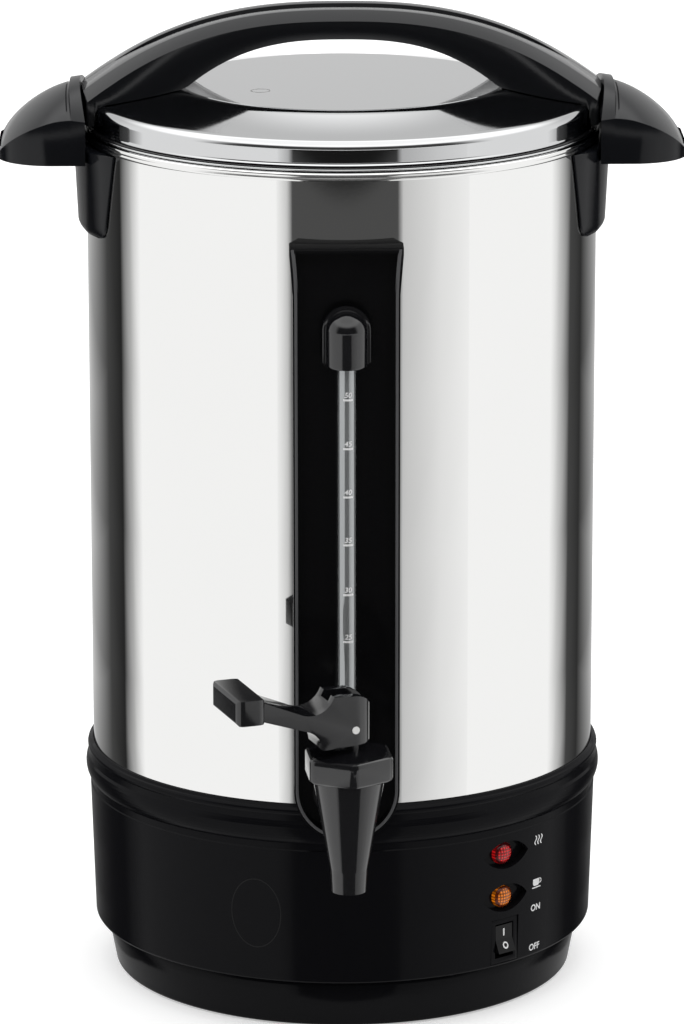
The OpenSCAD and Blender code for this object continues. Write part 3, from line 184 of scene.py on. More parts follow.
def put(
    tree: bpy.types.NodeTree, kind: str, operation: str = "", values: dict[str | int, object] | None = None
) -> bpy.types.Node:
    """Adds a shader node to a tree.

    Args:
        tree: The tree.
        kind: The node's type, without its prefix.
        operation: What a maths node does.
        values: Its constant inputs.

    Returns:
        The new node.
    """
    node = tree.nodes.new(f"ShaderNode{kind}")
    if operation:
        node.operation = operation
    for key, value in (values or {}).items():
        node.inputs[key].default_value = value
    return node


def wire(tree: bpy.types.NodeTree, *joins: tuple[bpy.types.Node, str, bpy.types.Node, str | int]) -> None:
    """Links shader nodes in a tree.

    Args:
        tree: The tree.
        joins: For each link the giving node, its output, the taking node and its input.
    """
    for giver, output, taker, entry in joins:
        tree.links.new(giver.outputs[output], taker.inputs[entry])


def blend(tree: bpy.types.NodeTree, first: Colour4, second: Colour4) -> bpy.types.Node:
    """Adds a node that mixes two colours.

    Args:
        tree: The tree.
        first: The colour at factor 0.
        second: The colour at factor 1.

    Returns:
        The new node.
    """
    node = put(tree, "Mix")
    node.data_type = "RGBA"
    node.inputs["A"].default_value = first
    node.inputs["B"].default_value = second
    return node


def plain_material(name: str, values: dict[str, object]) -> bpy.types.Material:
    """Makes a material of the stage.

    Args:
        name: The material's name.
        values: Inputs of its shader.

    Returns:
        The new material.
    """
    material = bpy.data.materials.new(name)
    material.use_nodes = True
    for key, value in values.items():
        material.node_tree.nodes["Principled BSDF"].inputs[key].default_value = value
    return material


class Workshop:
    """Shader groups and materials, each made once and shared."""

    def __init__(self) -> None:
        """Builds the shared shader groups."""
        self._made: dict[str, bpy.types.Material] = {}
        self.skin = self._skin_group()
        self.mottle = self._mottle_group()
        self.mesh_grid = self._grid_group()

    @staticmethod
    def _group(
        name: str, enters: Sequence[tuple[str, str, float | None]], leaves: Sequence[tuple[str, str]]
    ) -> tuple[bpy.types.NodeTree, bpy.types.Node, bpy.types.Node]:
        """Starts a shader group with its sockets.

        Args:
            name: The group's name.
            enters: Name, kind and default value of each input.
            leaves: Name and kind of each output.

        Returns:
            The group, its input node and its output node.
        """
        group = bpy.data.node_groups.new(name, "ShaderNodeTree")
        for label, kind, value in enters:
            socket = group.interface.new_socket(name=label, in_out="INPUT", socket_type=f"NodeSocket{kind}")
            if value is not None:
                socket.default_value = value
        for label, kind in leaves:
            group.interface.new_socket(name=label, in_out="OUTPUT", socket_type=f"NodeSocket{kind}")
        return group, group.nodes.new("NodeGroupInput"), group.nodes.new("NodeGroupOutput")

    def _skin_group(self) -> bpy.types.NodeTree:
        """Makes the group for fine moulded or rolled grain.

        Returns:
            The group, which puts out a height for a bump.
        """
        group, enter, leave = self._group(
            "fine_skin", [("Vector", "Vector", None), ("Scale", "Float", 900.0)], [("Height", "Float")]
        )
        fine = put(group, "TexNoise", values={"Detail": 3.0})
        wide = put(group, "TexNoise", values={"Scale": 38.0, "Detail": 1.0})
        add = put(group, "Math", "MULTIPLY_ADD", {1: 0.35})
        wire(
            group, (enter, "Vector", fine, "Vector"), (enter, "Scale", fine, "Scale"),
            (enter, "Vector", wide, "Vector"), (fine, "Fac", add, 0), (wide, "Fac", add, 2),
            (add, "Value", leave, "Height"),
        )
        return group

    def _mottle_group(self) -> bpy.types.NodeTree:
        """Makes the group for soft handling marks that vary gloss and colour.

        Returns:
            The group, which puts out a roughness and a tinted colour.
        """
        enters = [("Vector", "Vector", None), ("Roughness", "Float", 0.2), ("Amount", "Float", 0.05)]
        group, enter, leave = self._group(
            "handling_marks", enters + [("Colour", "Color", None)], [("Roughness", "Float"), ("Colour", "Color")]
        )
        cloud = put(group, "TexNoise", values={"Scale": 16.0, "Detail": 5.0})
        centre = put(group, "Math", "SUBTRACT", {1: 0.5})
        scaled = put(group, "Math", "MULTIPLY")
        rough = put(group, "Math", "ADD")
        rough.use_clamp = True
        gain = put(group, "Math", "ADD", {1: 1.0})
        tint = put(group, "VectorMath", "SCALE")
        wire(
            group, (enter, "Vector", cloud, "Vector"), (cloud, "Fac", centre, 0), (centre, "Value", scaled, 0),
            (enter, "Amount", scaled, 1), (scaled, "Value", rough, 0), (enter, "Roughness", rough, 1),
            (scaled, "Value", gain, 0), (enter, "Colour", tint, 0), (gain, "Value", tint, "Scale"),
            (rough, "Value", leave, "Roughness"), (tint, "Vector", leave, "Colour"),
        )
        return group

    def _grid_group(self) -> bpy.types.NodeTree:
        """Makes the group for the waffle grid moulded inside a lamp lens.

        Returns:
            The group, which puts out a mask that is bright in the middle of each cell.
        """
        group, enter, leave = self._group(
            "lens_waffle", [("Vector", "Vector", None), ("Scale", "Float", 760.0)], [("Cell", "Float")]
        )
        turn = put(group, "Mapping", values={"Rotation": (0.0, 0.0, math.radians(51.3))})
        split = put(group, "SeparateXYZ")
        cell = put(group, "Math", "MULTIPLY")
        gain = put(group, "Math", "MULTIPLY", {1: 4.0})
        gain.use_clamp = True
        wire(group, (enter, "Vector", turn, "Vector"), (turn, "Vector", split, "Vector"))
        for entry, axis in enumerate(("Y", "Z")):
            scaled = put(group, "Math", "MULTIPLY")
            wave = put(group, "Math", "PINGPONG", {1: 0.5})
            wire(
                group, (split, axis, scaled, 0), (enter, "Scale", scaled, 1),
                (scaled, "Value", wave, 0), (wave, "Value", cell, entry),
            )
        wire(group, (cell, "Value", gain, 0), (gain, "Value", leave, "Cell"))
        return group

    def material(self, finish: Finish) -> bpy.types.Material:
        """Gives the material of a finish, made on first use.

        Args:
            finish: The finish to make.

        Returns:
            The finished material.
        """
        if finish.name not in self._made:
            self._made[finish.name] = self._build(finish)
        return self._made[finish.name]

    def _build(self, finish: Finish) -> bpy.types.Material:
        """Builds a material from its finish.

        Args:
            finish: The finish to make.

        Returns:
            The new material.
        """
        material = bpy.data.materials.new(finish.name)
        material.use_nodes = True
        tree = material.node_tree
        shader = tree.nodes["Principled BSDF"]
        shader.inputs["Specular IOR Level"].default_value = finish.specular
        place = put(tree, "TexCoord")
        marks = put(tree, "Group")
        marks.node_tree = self.mottle
        marks.inputs["Roughness"].default_value = finish.roughness
        marks.inputs["Amount"].default_value = finish.mottle
        marks.inputs["Colour"].default_value = (*finish.colour, 1.0)
        wire(
            tree, (place, "Object", marks, "Vector"), (marks, "Roughness", shader, "Roughness"),
            (marks, "Colour", shader, "Base Color"),
        )
        if finish.surface in SHINE:
            shader.inputs["Metallic"].default_value = SHINE[finish.surface]
        if finish.surface is Surface.GLASS:
            return material
        if finish.surface is Surface.LIT_LENS:
            self._light_lens(finish, tree, shader, place)
            return material
        skin = put(tree, "Group")
        skin.node_tree = self.skin
        skin.inputs["Scale"].default_value = finish.grain
        bump = put(tree, "Bump", values={"Strength": finish.bump, "Distance": MM})
        wire(
            tree, (place, "Object", skin, "Vector"), (skin, "Height", bump, "Height"),
            (bump, "Normal", shader, "Normal"),
        )
        if finish.veil > 0.0:
            dull, mix = put(tree, "BsdfDiffuse"), put(tree, "MixShader", values={"Fac": finish.veil})
            wire(
                tree, (marks, "Colour", dull, "Color"), (bump, "Normal", dull, "Normal"), (shader, "BSDF", mix, 1),
                (dull, "BSDF", mix, 2), (mix, "Shader", tree.nodes["Material Output"], "Surface"),
            )
        return material

    def _light_lens(
        self, finish: Finish, tree: bpy.types.NodeTree, shader: bpy.types.Node, place: bpy.types.Node
    ) -> None:
        """Adds the glow and waffle grid of a lit lamp lens.

        Args:
            finish: The lens finish.
            tree: The material's nodes.
            shader: Its shader.
            place: Its texture coordinate node.
        """
        grid = put(tree, "Group")
        grid.node_tree = self.mesh_grid
        dark = tuple(LENS_DARK * c for c in finish.colour)
        ramp = blend(tree, (*dark, 1.0), (*finish.colour, 1.0))
        bump = put(tree, "Bump", values={"Strength": 0.35, "Distance": 0.0006})
        wire(
            tree, (place, "Object", grid, "Vector"), (grid, "Cell", ramp, "Factor"), (grid, "Cell", bump, "Height"),
            (bump, "Normal", shader, "Normal"), (ramp, "Result", shader, "Emission Color"),
            (ramp, "Result", shader, "Base Color"),
        )
        shader.inputs["Emission Strength"].default_value = finish.glow

    def dress(self, piece: bpy.types.Object, finish: Finish) -> None:
        """Gives a piece one finish all over.

        Args:
            piece: The object to dress.
            finish: Its finish.
        """
        piece.data.materials.clear()
        piece.data.materials.append(self.material(finish))


def clear_selection() -> None:
    """Leaves edit mode and deselects everything."""
    if bpy.context.object and bpy.context.object.mode != "OBJECT":
        bpy.ops.object.mode_set(mode="OBJECT")
    bpy.ops.object.select_all(action="DESELECT")


def activate(piece: bpy.types.Object) -> None:
    """Selects one piece alone and makes it the active one.

    Args:
        piece: The piece.
    """
    clear_selection()
    piece.select_set(True)
    bpy.context.view_layer.objects.active = piece


def settle(
    piece: bpy.types.Object, shop: Workshop, finish: Finish, body: Body, node: str = ""
) -> None:
    """Finishes a piece and puts it on its body.

    Args:
        piece: The piece.
        shop: The finishes.
        finish: The piece's finish.
        body: The body that it rides.
        node: The solid that it takes the place of, if any.
    """
    shop.dress(piece, finish)
    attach(piece, body.value)
    if node:
        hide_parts(node)


def metres(points: Iterable[Sequence[float]]) -> list[tuple[float, ...]]:
    """Turns points in millimetres into metres.

    Args:
        points: The points.

    Returns:
        The same points in metres.
    """
    return [tuple(value * MM for value in point) for point in points]


def begin(name: str, add: Callable[..., set[str]], **settings: object) -> bpy.types.Object:
    """Starts a new piece.

    Args:
        name: The piece's name.
        add: The operator that adds it.
        settings: What the operator is told.

    Returns:
        The new piece.
    """
    clear_selection()
    add(**settings)
    piece = bpy.context.object
    piece.name = name
    return piece


def close_up(merge: bool) -> None:
    """Turns the edited piece's faces outwards and leaves edit mode.

    Args:
        merge: Whether points that lie on each other become one.
    """
    bpy.ops.mesh.select_all(action="SELECT")
    if merge:
        bpy.ops.mesh.remove_doubles(threshold=SAME_PLACE)
    bpy.ops.mesh.normals_make_consistent(inside=False)
    bpy.ops.object.mode_set(mode="OBJECT")


def spin_profile(name: str, profile: Sequence[Point2], steps: int = 192) -> bpy.types.Object:
    """Turns a profile about the Z axis, as on a lathe.

    Args:
        name: The piece's name.
        profile: Radius and height of each point in metres, in order along the outline.
        steps: Segments round the circle.

    Returns:
        The turned piece, with its normals outwards.
    """
    piece = begin(name, bpy.ops.mesh.primitive_plane_add, size=0.001)
    bpy.ops.object.mode_set(mode="EDIT")
    bpy.ops.mesh.merge(type="CENTER")
    here = Vector((0.0, 0.0, 0.0))
    for count, (radius, height) in enumerate(profile):
        step = Vector((radius, 0.0, height)) - here
        if count == 0:
            bpy.ops.transform.translate(value=step)
        else:
            bpy.ops.mesh.extrude_vertices_move(TRANSFORM_OT_translate={"value": step})
        here += step
    bpy.ops.mesh.select_all(action="SELECT")
    bpy.ops.mesh.spin(steps=steps, angle=math.tau, center=(0, 0, 0), axis=(0, 0, 1), dupli=False)
    close_up(merge=True)
    bpy.ops.object.shade_smooth_by_angle(angle=math.radians(34))
    return piece


def loft(name: str, rings: Sequence[Sequence[Point3]], caps: bool = True) -> bpy.types.Object:
    """Draws a skin over closed rings of points by extruding a ring from station to station.

    Args:
        name: The piece's name.
        rings: The rings in order, each with the same number of points in metres.
        caps: Whether the first and last ring are closed by a face.

    Returns:
        The lofted piece, with its normals outwards.
    """
    piece = begin(name, bpy.ops.mesh.primitive_circle_add, vertices=len(rings[0]), radius=0.01)
    bpy.ops.object.mode_set(mode="EDIT")
    shape = bmesh.from_edit_mesh(piece.data)
    shape.verts.ensure_lookup_table()
    ring = list(shape.verts)
    for vert, point in zip(ring, rings[0]):
        vert.co = point
    bmesh.update_edit_mesh(piece.data)
    if caps:
        bpy.ops.mesh.edge_face_add()
    for points in rings[1:]:
        select_only(shape, ring)
        bpy.ops.mesh.extrude_edges_move()
        shape = bmesh.from_edit_mesh(piece.data)
        ring = [next(e.other_vert(v) for e in v.link_edges if e.other_vert(v).select) for v in ring]
        for vert, point in zip(ring, points):
            vert.co = point
    select_only(shape, ring)
    if caps:
        bpy.ops.mesh.edge_face_add()
    close_up(merge=False)
    return piece


def select_only(shape: bmesh.types.BMesh, verts: Iterable[bmesh.types.BMVert]) -> None:
    """Selects these points and the edges between them, and nothing else.

    Args:
        shape: The mesh in edit mode.
        verts: Its points to select.
    """
    for face in shape.faces:
        face.select = False
    for edge in shape.edges:
        edge.select = False
    for vert in shape.verts:
        vert.select = False
    chosen = set(verts)
    for vert in chosen:
        vert.select = True
    for edge in shape.edges:
        edge.select = edge.verts[0] in chosen and edge.verts[1] in chosen
    shape.select_history.clear()


def round_edges(piece: bpy.types.Object, width: float, angle: float = 30.0, segments: int = 3) -> None:
    """Rounds a piece's edges with a bevel that is applied.

    Args:
        piece: The piece.
        width: The bevel's width in metres.
        angle: The smallest angle between faces that is rounded, in degrees.
        segments: The bevel's steps.
    """
    activate(piece)
    bevel = piece.modifiers.new("rounding", "BEVEL")
    bevel.width = width
    bevel.segments = segments
    bevel.limit_method = "ANGLE"
    bevel.angle_limit = math.radians(angle)
    bevel.harden_normals = False
    bpy.ops.object.modifier_apply(modifier=bevel.name)
    bpy.ops.object.shade_smooth_by_angle(angle=math.radians(angle))


def arc(centre: Point2, radius: float, start: float, end: float, steps: int) -> list[Point2]:
    """Points along an arc in the profile plane.

    Args:
        centre: The arc's centre.
        radius: Its radius.
        start: Its first angle in degrees.
        end: Its last angle in degrees.
        steps: The number of chords.

    Returns:
        The points from first to last.
    """
    angles = [math.radians(start + (end - start) * i / steps) for i in range(steps + 1)]
    return [(centre[0] + radius * math.cos(a), centre[1] + radius * math.sin(a)) for a in angles]


SOFTENED: dict[str, tuple[float, float]] = {
    "gauge_panel": (0.45, 24.0),
    "tap_lever": (0.8, 24.0),
    "switch_frame": (0.4, 24.0),
}


@dataclass(frozen=True)
class Flag:
    """A dark studio flag: where its knots stand on the tank, in degrees from the front, and how bright they are."""

    name: str
    knots: tuple[Point2, ...]


@dataclass
class Studio:
    """The camera at the photograph's viewing angle, the floor and the soft light round the urn."""

    distance: float = 2.420
    height: float = 0.8294
    side: float = 0.0
    pitch: float = 14.51
    yaw: float = -0.95
    roll: float = -0.05
    lens: float = 200.31
    floor_size: float = 12.0
    floor_lift: float = 0.42
    tank_radius: float = 0.110
    flags: tuple[Flag, ...] = (
        Flag("flag_front", (
            (-15.0, 0.94), (-12.6, 0.6), (-11.5, 0.075), (12.0, 0.075), (13.2, 0.6), (22.0, 0.82), (29.0, 0.95),
        )),
        Flag("flag_left", ((-52.0, 1.0), (-56.0, 0.45), (-60.0, 0.02), (-67.0, 0.06), (-90.0, 0.75))),
        Flag("flag_right", ((54.0, 1.0), (57.5, 0.6), (62.5, 0.06), (68.5, 0.03), (90.0, 0.7))),
    )
    flag_steps: tuple[float, ...] = (0.01, 0.05, 0.10, 0.18, 0.30, 0.50, 0.80, 1.2, 1.95, 2.08, 3.0)
    flag_height: float = 0.0004
    flag_gap: float = 0.0002
    far_from: float = 2.0
    far_shade: float = 0.15
    dark_below: float = 0.3
    sky: tuple[tuple[str, float, float, float], ...] = (
        ("Y", -0.28, -0.66, 0.06), ("Y", 0.30, 0.75, 0.68), ("Z", 0.44, 0.70, 1.6), ("Z", 0.78, 0.93, 1.4),
    )

    def build(self) -> None:
        """Makes the camera, the floor, the flags and the light."""
        self._camera()
        self._floor()
        self._flags()
        self._world()

    def _camera(self) -> None:
        """Sets the camera in front of the urn, a little above it."""
        data = bpy.data.cameras.new("view")
        data.lens = self.lens
        data.sensor_width = 36.0
        data.clip_end = 100.0
        camera = bpy.data.objects.new("view", data)
        bpy.context.scene.collection.objects.link(camera)
        turn = Matrix.Rotation(math.radians(self.yaw), 4, "Z")
        tilt = Matrix.Rotation(math.radians(90.0 - self.pitch), 4, "X")
        level = Matrix.Rotation(math.radians(self.roll), 4, "Z")
        camera.matrix_world = turn @ Matrix.Translation((self.side, -self.distance, self.height)) @ tilt @ level
        bpy.context.scene.camera = camera

    def _floor(self) -> None:
        """Lays a plain white floor that keeps the urn's shadow and shows white in metal and glass."""
        floor = begin("floor", bpy.ops.mesh.primitive_plane_add, size=self.floor_size)
        material = plain_material("pale_floor", {
            "Base Color": (0.80, 0.80, 0.80, 1.0), "Roughness": 1.0, "Specular IOR Level": 0.0, "Emission Color": WHITE,
        })
        tree = material.node_tree
        shader, path = tree.nodes["Principled BSDF"], put(tree, "LightPath")
        lift = put(tree, "Math", "MULTIPLY", {1: self.floor_lift})
        mirrored = put(tree, "Math", "MAXIMUM")
        white, choose = put(tree, "Emission"), put(tree, "MixShader")
        wire(
            tree, (path, "Is Camera Ray", lift, 0), (lift, "Value", shader, "Emission Strength"),
            (path, "Is Glossy Ray", mirrored, 0), (path, "Is Transmission Ray", mirrored, 1),
            (mirrored, "Value", choose, "Fac"), (shader, "BSDF", choose, 1), (white, "Emission", choose, 2),
            (choose, "Shader", tree.nodes["Material Output"], "Surface"),
        )
        floor.data.materials.append(material)

    def _flags(self) -> None:
        """Lays dark studio flags on the floor, which only the polished surfaces see as upright bands."""
        material = plain_material("studio_flag", {
            "Base Color": (0.0, 0.0, 0.0, 1.0), "Specular IOR Level": 0.0, "Emission Strength": 1.0,
        })
        tree = material.node_tree
        level = put(tree, "VertexColor")
        level.layer_name = "level"
        wire(tree, (level, "Color", tree.nodes["Principled BSDF"], "Emission Color"))
        for count, flag in enumerate(self.flags):
            across, along = len(flag.knots), len(self.flag_steps)
            sheet = begin(
                flag.name, bpy.ops.mesh.primitive_grid_add,
                x_subdivisions=across - 1, y_subdivisions=along - 1, size=1.0,
            )
            shades = sheet.data.color_attributes.new("level", "FLOAT_COLOR", "POINT")
            for vert in sheet.data.vertices:
                facing, shade = flag.knots[vert.index % across]
                away = self.flag_steps[vert.index // across]
                x, y = self._band_point(facing, away)
                if away > self.far_from and shade < self.dark_below:
                    shade *= self.far_shade
                vert.co = (x, y, self.flag_height + self.flag_gap * count)
                shades.data[vert.index].color = (shade, shade, shade, 1.0)
            sheet.data.materials.append(material)
            for sees in ("visible_camera", "visible_diffuse", "visible_shadow", "visible_transmission"):
                setattr(sheet, sees, False)

    def _band_point(self, facing: float, away: float) -> Point2:
        """Finds a point on the floor that the tank shows on one upright line.

        Args:
            facing: Where the line stands on the tank, in degrees from the front to the right.
            away: The point's distance from the tank wall in metres.

        Returns:
            The point's place in metres.
        """
        at = math.radians(facing)
        x, y = self.tank_radius * math.sin(at), -self.tank_radius * math.cos(at)
        return x + away * math.sin(2.0 * at), y - away * math.cos(2.0 * at)

    def _world(self) -> None:
        """Surrounds the urn with a pale ceiling and sides, dark behind the camera and greyer at the back."""
        world = bpy.data.worlds.new("studio")
        bpy.context.scene.world = world
        world.use_nodes = True
        tree = world.node_tree
        place, split = put(tree, "TexCoord"), put(tree, "SeparateXYZ")
        wire(tree, (place, "Generated", split, "Vector"))
        last: bpy.types.Node | None = None
        for axis, low, high, radiance in self.sky:
            reach = put(tree, "MapRange", values={"From Min": low, "From Max": high})
            reach.interpolation_type = "SMOOTHSTEP"
            level = blend(tree, WHITE, (radiance, radiance, radiance, 1.0))
            wire(tree, (split, axis, reach, "Value"), (reach, "Result", level, "Factor"))
            if last is not None:
                wire(tree, (last, "Result", level, "A"))
            last = level
        path, seen = put(tree, "LightPath"), blend(tree, WHITE, WHITE)
        wire(
            tree, (path, "Is Camera Ray", seen, "Factor"), (last, "Result", seen, "A"),
            (seen, "Result", tree.nodes["Background"], "Color"),
        )


@dataclass
class Tank:
    """The polished tank: outer wall, rolled rim and the inside down to the well."""

    radius: float = 110.0
    wall: float = 1.0
    floor: float = 86.0
    rim: float = 375.8
    well_radius: float = 23.0
    well_depth: float = 12.0
    bead: float = 3.3
    bead_out: float = 1.1
    corner: float = 6.0
    band: float = 30.0

    def build(self, shop: Workshop) -> bpy.types.Object:
        """Turns the tank and puts it in place of its solid.

        Args:
            shop: The finishes.

        Returns:
            The tank's object.
        """
        r, low = self.radius, self.floor - self.well_depth
        inner = self.corner - self.wall
        outline: list[Point2] = [(0.0, low - self.wall), (self.well_radius, low - self.wall)]
        outline += [(self.well_radius, self.floor)]
        outline += arc((r - self.corner, self.floor + self.corner), self.corner, -90, 0, 10)
        outline += [(r, self.floor + self.band), (r, self.rim - self.bead - self.band), (r, self.rim - self.bead)]
        outline += arc((r, self.rim - self.bead * 0.75), self.bead_out, -60, 40, 6)
        outline += arc((r, self.rim - self.bead * 0.30), self.bead_out, -40, 60, 6)
        outline += [(r, self.rim), (r - self.wall, self.rim)]
        outline += arc((r - self.corner, self.floor + self.corner), inner, 0, -90, 10)
        outline += [(self.well_radius - self.wall, self.floor + self.wall)]
        outline += [(self.well_radius - self.wall, low), (0.0, low)]
        piece = spin_profile("tank_wall", metres(outline))
        settle(piece, shop, POLISHED_STEEL, Body.URN, "tank_shell")
        return piece


@dataclass
class Lid:
    """The steel lid with its raised disc, rolled shoulder, upright band, flange and skirt, and a black ring painted as
    the shadow gap between band and flange.
    """

    disc_radius: float = 69.0
    disc_top: float = 395.1
    disc_sag: float = 0.4
    disc_step: float = 0.15
    ledge: float = 4.0
    ledge_slope: float = 0.12
    slope: float = 0.225
    shoulder: float = 385.0
    roll: float = 3.5
    roll_start: float = 7.2
    band_radius: float = 107.9
    band_low: float = 378.95
    flange: float = 377.3
    flange_radius: float = 110.3
    seat: float = 376.5
    skirt_radius: float = 108.0
    skirt_depth: float = 12.0
    sheet: float = 0.9
    lip: tuple[Point2, ...] = ((0.0, 0.7), (0.0, 0.4), (0.12, 0.0), (0.45, -0.35), (0.5, -0.55), (0.3, -0.7))
    lip_depth: float = 0.8

    def dome(self, radius: float) -> float:
        """Height of the lid's face in millimetres at a radius."""
        if radius <= self.disc_radius:
            return self.disc_top - self.disc_sag * (radius / self.disc_radius) ** 2
        last, low = self._roll_point(self.roll_start)
        if radius > last:
            over = min(1.0, (radius - self.band_radius + self.roll) / self.roll)
            return self.shoulder + self.roll * math.sqrt(1.0 - over ** 2)
        foot = self.disc_top - self.disc_sag - self.disc_step
        bend = self.disc_radius + self.ledge
        if radius <= bend:
            return foot - self.ledge_slope * (radius - self.disc_radius)
        foot -= self.ledge_slope * self.ledge
        along = (radius - bend) / (last - bend)
        fall = self.slope * (last - bend)
        return foot - fall * along - (foot - low - fall) * along ** 2

    def _roll_point(self, tilt: float) -> Point2:
        """Radius and height of the point on the rolled shoulder whose face leans out by an angle in degrees."""
        lean = math.radians(tilt)
        return (self.band_radius - self.roll + self.roll * math.sin(lean), self.shoulder + self.roll * math.cos(lean))

    def build(self, shop: Workshop) -> bpy.types.Object:
        """Turns the lid with its painted shadow-gap ring and puts it in place of its solid.

        Args:
            shop: The finishes.

        Returns:
            The lid's object.
        """
        r, low, inner = self.band_radius, self.band_low, self.band_radius - self.sheet
        outline = self._face(self._roll_point(self.roll_start)[0])
        outline += [self._roll_point(self.roll_start + (90.0 - self.roll_start) * i / 16) for i in range(1, 17)]
        outline += [(r, self.shoulder - 0.4)] + [(r + out, low + up) for out, up in self.lip]
        outline += [(inner, low - self.lip_depth), (inner, self.flange)]
        outline += [(self.flange_radius - 0.3, self.flange)]
        outline += arc((self.flange_radius - 0.4, self.flange - 0.4), 0.4, 80, -90, 8)
        outline += [(self.skirt_radius + 1.7, self.flange - 0.8), (self.skirt_radius + 1.5, self.seat)]
        outline += [(self.skirt_radius, self.seat), (self.skirt_radius, self.seat - self.skirt_depth)]
        outline += [(self.skirt_radius - self.sheet, self.seat - self.skirt_depth)]
        outline += [(self.skirt_radius - self.sheet, self.seat), (inner - self.sheet, self.seat + 0.6)]
        outline += [(inner - self.sheet, self.shoulder)]
        outline += [(x, z - self.sheet) for x, z in reversed(self._face(inner - self.roll))]
        piece = spin_profile("lid_dome", metres(outline), steps=256)
        settle(piece, shop, MIRROR_STEEL, Body.LID, "lid_dish")
        self._shadow_gap_ring(shop)
        self._vent(shop)
        return piece

    def _shadow_gap_ring(self, shop: Workshop) -> None:
        """Turns a black ring between the band and the flange, painted shade standing in for the shadow gap there.

        Args:
            shop: The finishes.
        """
        r, low, top = self.band_radius - self.sheet, self.flange, self.band_low - self.lip_depth
        outline = [(r + 0.05, low + 0.03), (r + 2.5, low + 0.03), (r + 2.7, low + 0.3), (r + 2.2, top - 0.4)]
        outline += [(r + 1.2, top - 0.03), (r + 0.05, top - 0.03), (r + 0.05, low + 0.03)]
        piece = spin_profile("lid_shadow_gap_ring", metres(outline), steps=128)
        # Painted shade: this black ring stands where the lid shows only a dark shadow gap under the band.
        settle(piece, shop, PANEL_BLACK, Body.LID)

    def _vent(self, shop: Workshop) -> None:
        """Draws the small steam vent's ring on the disc.

        Args:
            shop: The finishes.
        """
        piece = plate("lid_vent", Markings.ring(4.0, 0.5, -35.0, -24.0), cuts=24, thick=0.1)
        for vert in piece.data.vertices:
            out = math.hypot(vert.co.x, vert.co.y) / MM
            vert.co.z += self.dome(out) * MM
        settle(piece, shop, FIXING_STEEL, Body.LID)

    def _face(self, last: float) -> list[Point2]:
        """Radius and height of points on the face, from the axis over the disc's edge to a last radius."""
        disc = self.disc_radius
        inside = [disc * math.sin(math.radians(84 * i / 14)) for i in range(15)] + [disc]
        outside = [disc + 0.04 + (last - disc - 0.04) * i / 18 for i in range(19)]
        return [(r, self.dome(r)) for r in inside + outside]


@dataclass
class LidArch:
    """The arched lid handle: flat groove-lined top, wide chamfers and feet that hook over the lid rim."""

    end_radius: float = 112.0
    top: float = 427.6
    drop: float = 33.6
    bow: float = 2.5
    thick: float = 12.0
    under_drop: float = 22.0
    under_bow: float = 2.7
    span: float = 70.0
    chamfer: float = 4.0
    flat: float = 12.0
    foot_half: float = 25.0
    lean: float = 0.14
    hook_radius: float = 108.7
    hook: float = 379.8
    gap: float = 0.35
    flat_flare: float = 5.0
    face_wide: float = 6.0
    face_flare: float = 2.0
    bend: float = 0.9
    groove_half: float = 5.4
    groove_depth: float = 2.4
    groove_end: float = 0.87
    groove_ramp: float = 20.0
    fade_end: float = 0.89
    fade_ramp: float = 6.0
    edge_round: float = 0.0005
    lid: Lid = field(default_factory=Lid)

    def build(self, shop: Workshop) -> bpy.types.Object:
        """Lofts the arch from foot to foot and puts it in place of its solid.

        Args:
            shop: The finishes.

        Returns:
            The arch's object.
        """
        hook = self.hook_radius / self.end_radius
        half = [0.03 * i for i in range(1, 31)] + [0.93, 0.955, hook - 0.002, hook + 0.002, 0.988, 1.0]
        stations = [-u for u in reversed(half)] + [0.0] + half
        rings = [metres(self._ring(u)) for u in stations]
        piece = loft("lid_arch", rings)
        round_edges(piece, self.edge_round, 20.0)
        settle(piece, shop, GRIP_BLACK, Body.LID, "lid_handle")
        return piece

    def _place(self, u: float, y: float) -> Point2:
        """Plan position in millimetres of a point at station u and distance y from the middle line."""
        if abs(u) < self.bend:
            return (u / self.bend * math.sqrt((self.bend * self.end_radius) ** 2 - y * y), y)
        return (math.copysign(math.sqrt((u * self.end_radius) ** 2 - y * y), u), y)

    def _ring(self, u: float) -> list[Point3]:
        """Points in millimetres round the arch at one station.

        Args:
            u: The station, from -1 at the left foot to 1 at the right.

        Returns:
            The underside from left to right, then the right side, the groove and the left side.
        """
        spread = u * u
        flat = self.flat + self.flat_flare * spread
        face = flat + self.face_wide + self.face_flare * spread
        top = self.top - self.drop * abs(u) ** self.bow
        under = self.top - self.thick - self.under_drop * (abs(u) * self.end_radius / self.span) ** self.under_bow
        lean = self.lean * (top - self.chamfer - max(under, self.lid.dome(0.0))) * (1.0 - abs(u) ** 6)
        wide = face + (self.foot_half - face) * abs(u) ** 3 - max(0.0, lean)
        sunk = min(1.0, max(0.0, (self.groove_end - abs(u)) * self.groove_ramp))
        depth = max(0.02, self.groove_depth * sunk)
        points: list[Point3] = []
        for share in (0.25 * i for i in range(-4, 5)):
            x, y = self._place(u, share * wide)
            radius = math.hypot(x, y)
            low = self.hook if radius > self.hook_radius else max(under, self.lid.dome(radius) + self.gap)
            points.append((x, y, min(low, top - self.chamfer - 1.0)))
        fade = min(1.0, max(0.1, (self.fade_end - abs(u)) * self.fade_ramp))
        groove = self.groove_half * fade
        sides = [(face, self.chamfer), (flat, 0.0), (groove, 0.0), (groove * 0.9, depth)]
        for y, down in sides + [(-y, down) for y, down in reversed(sides)]:
            points.append((*self._place(u, y), top - down))
        return points


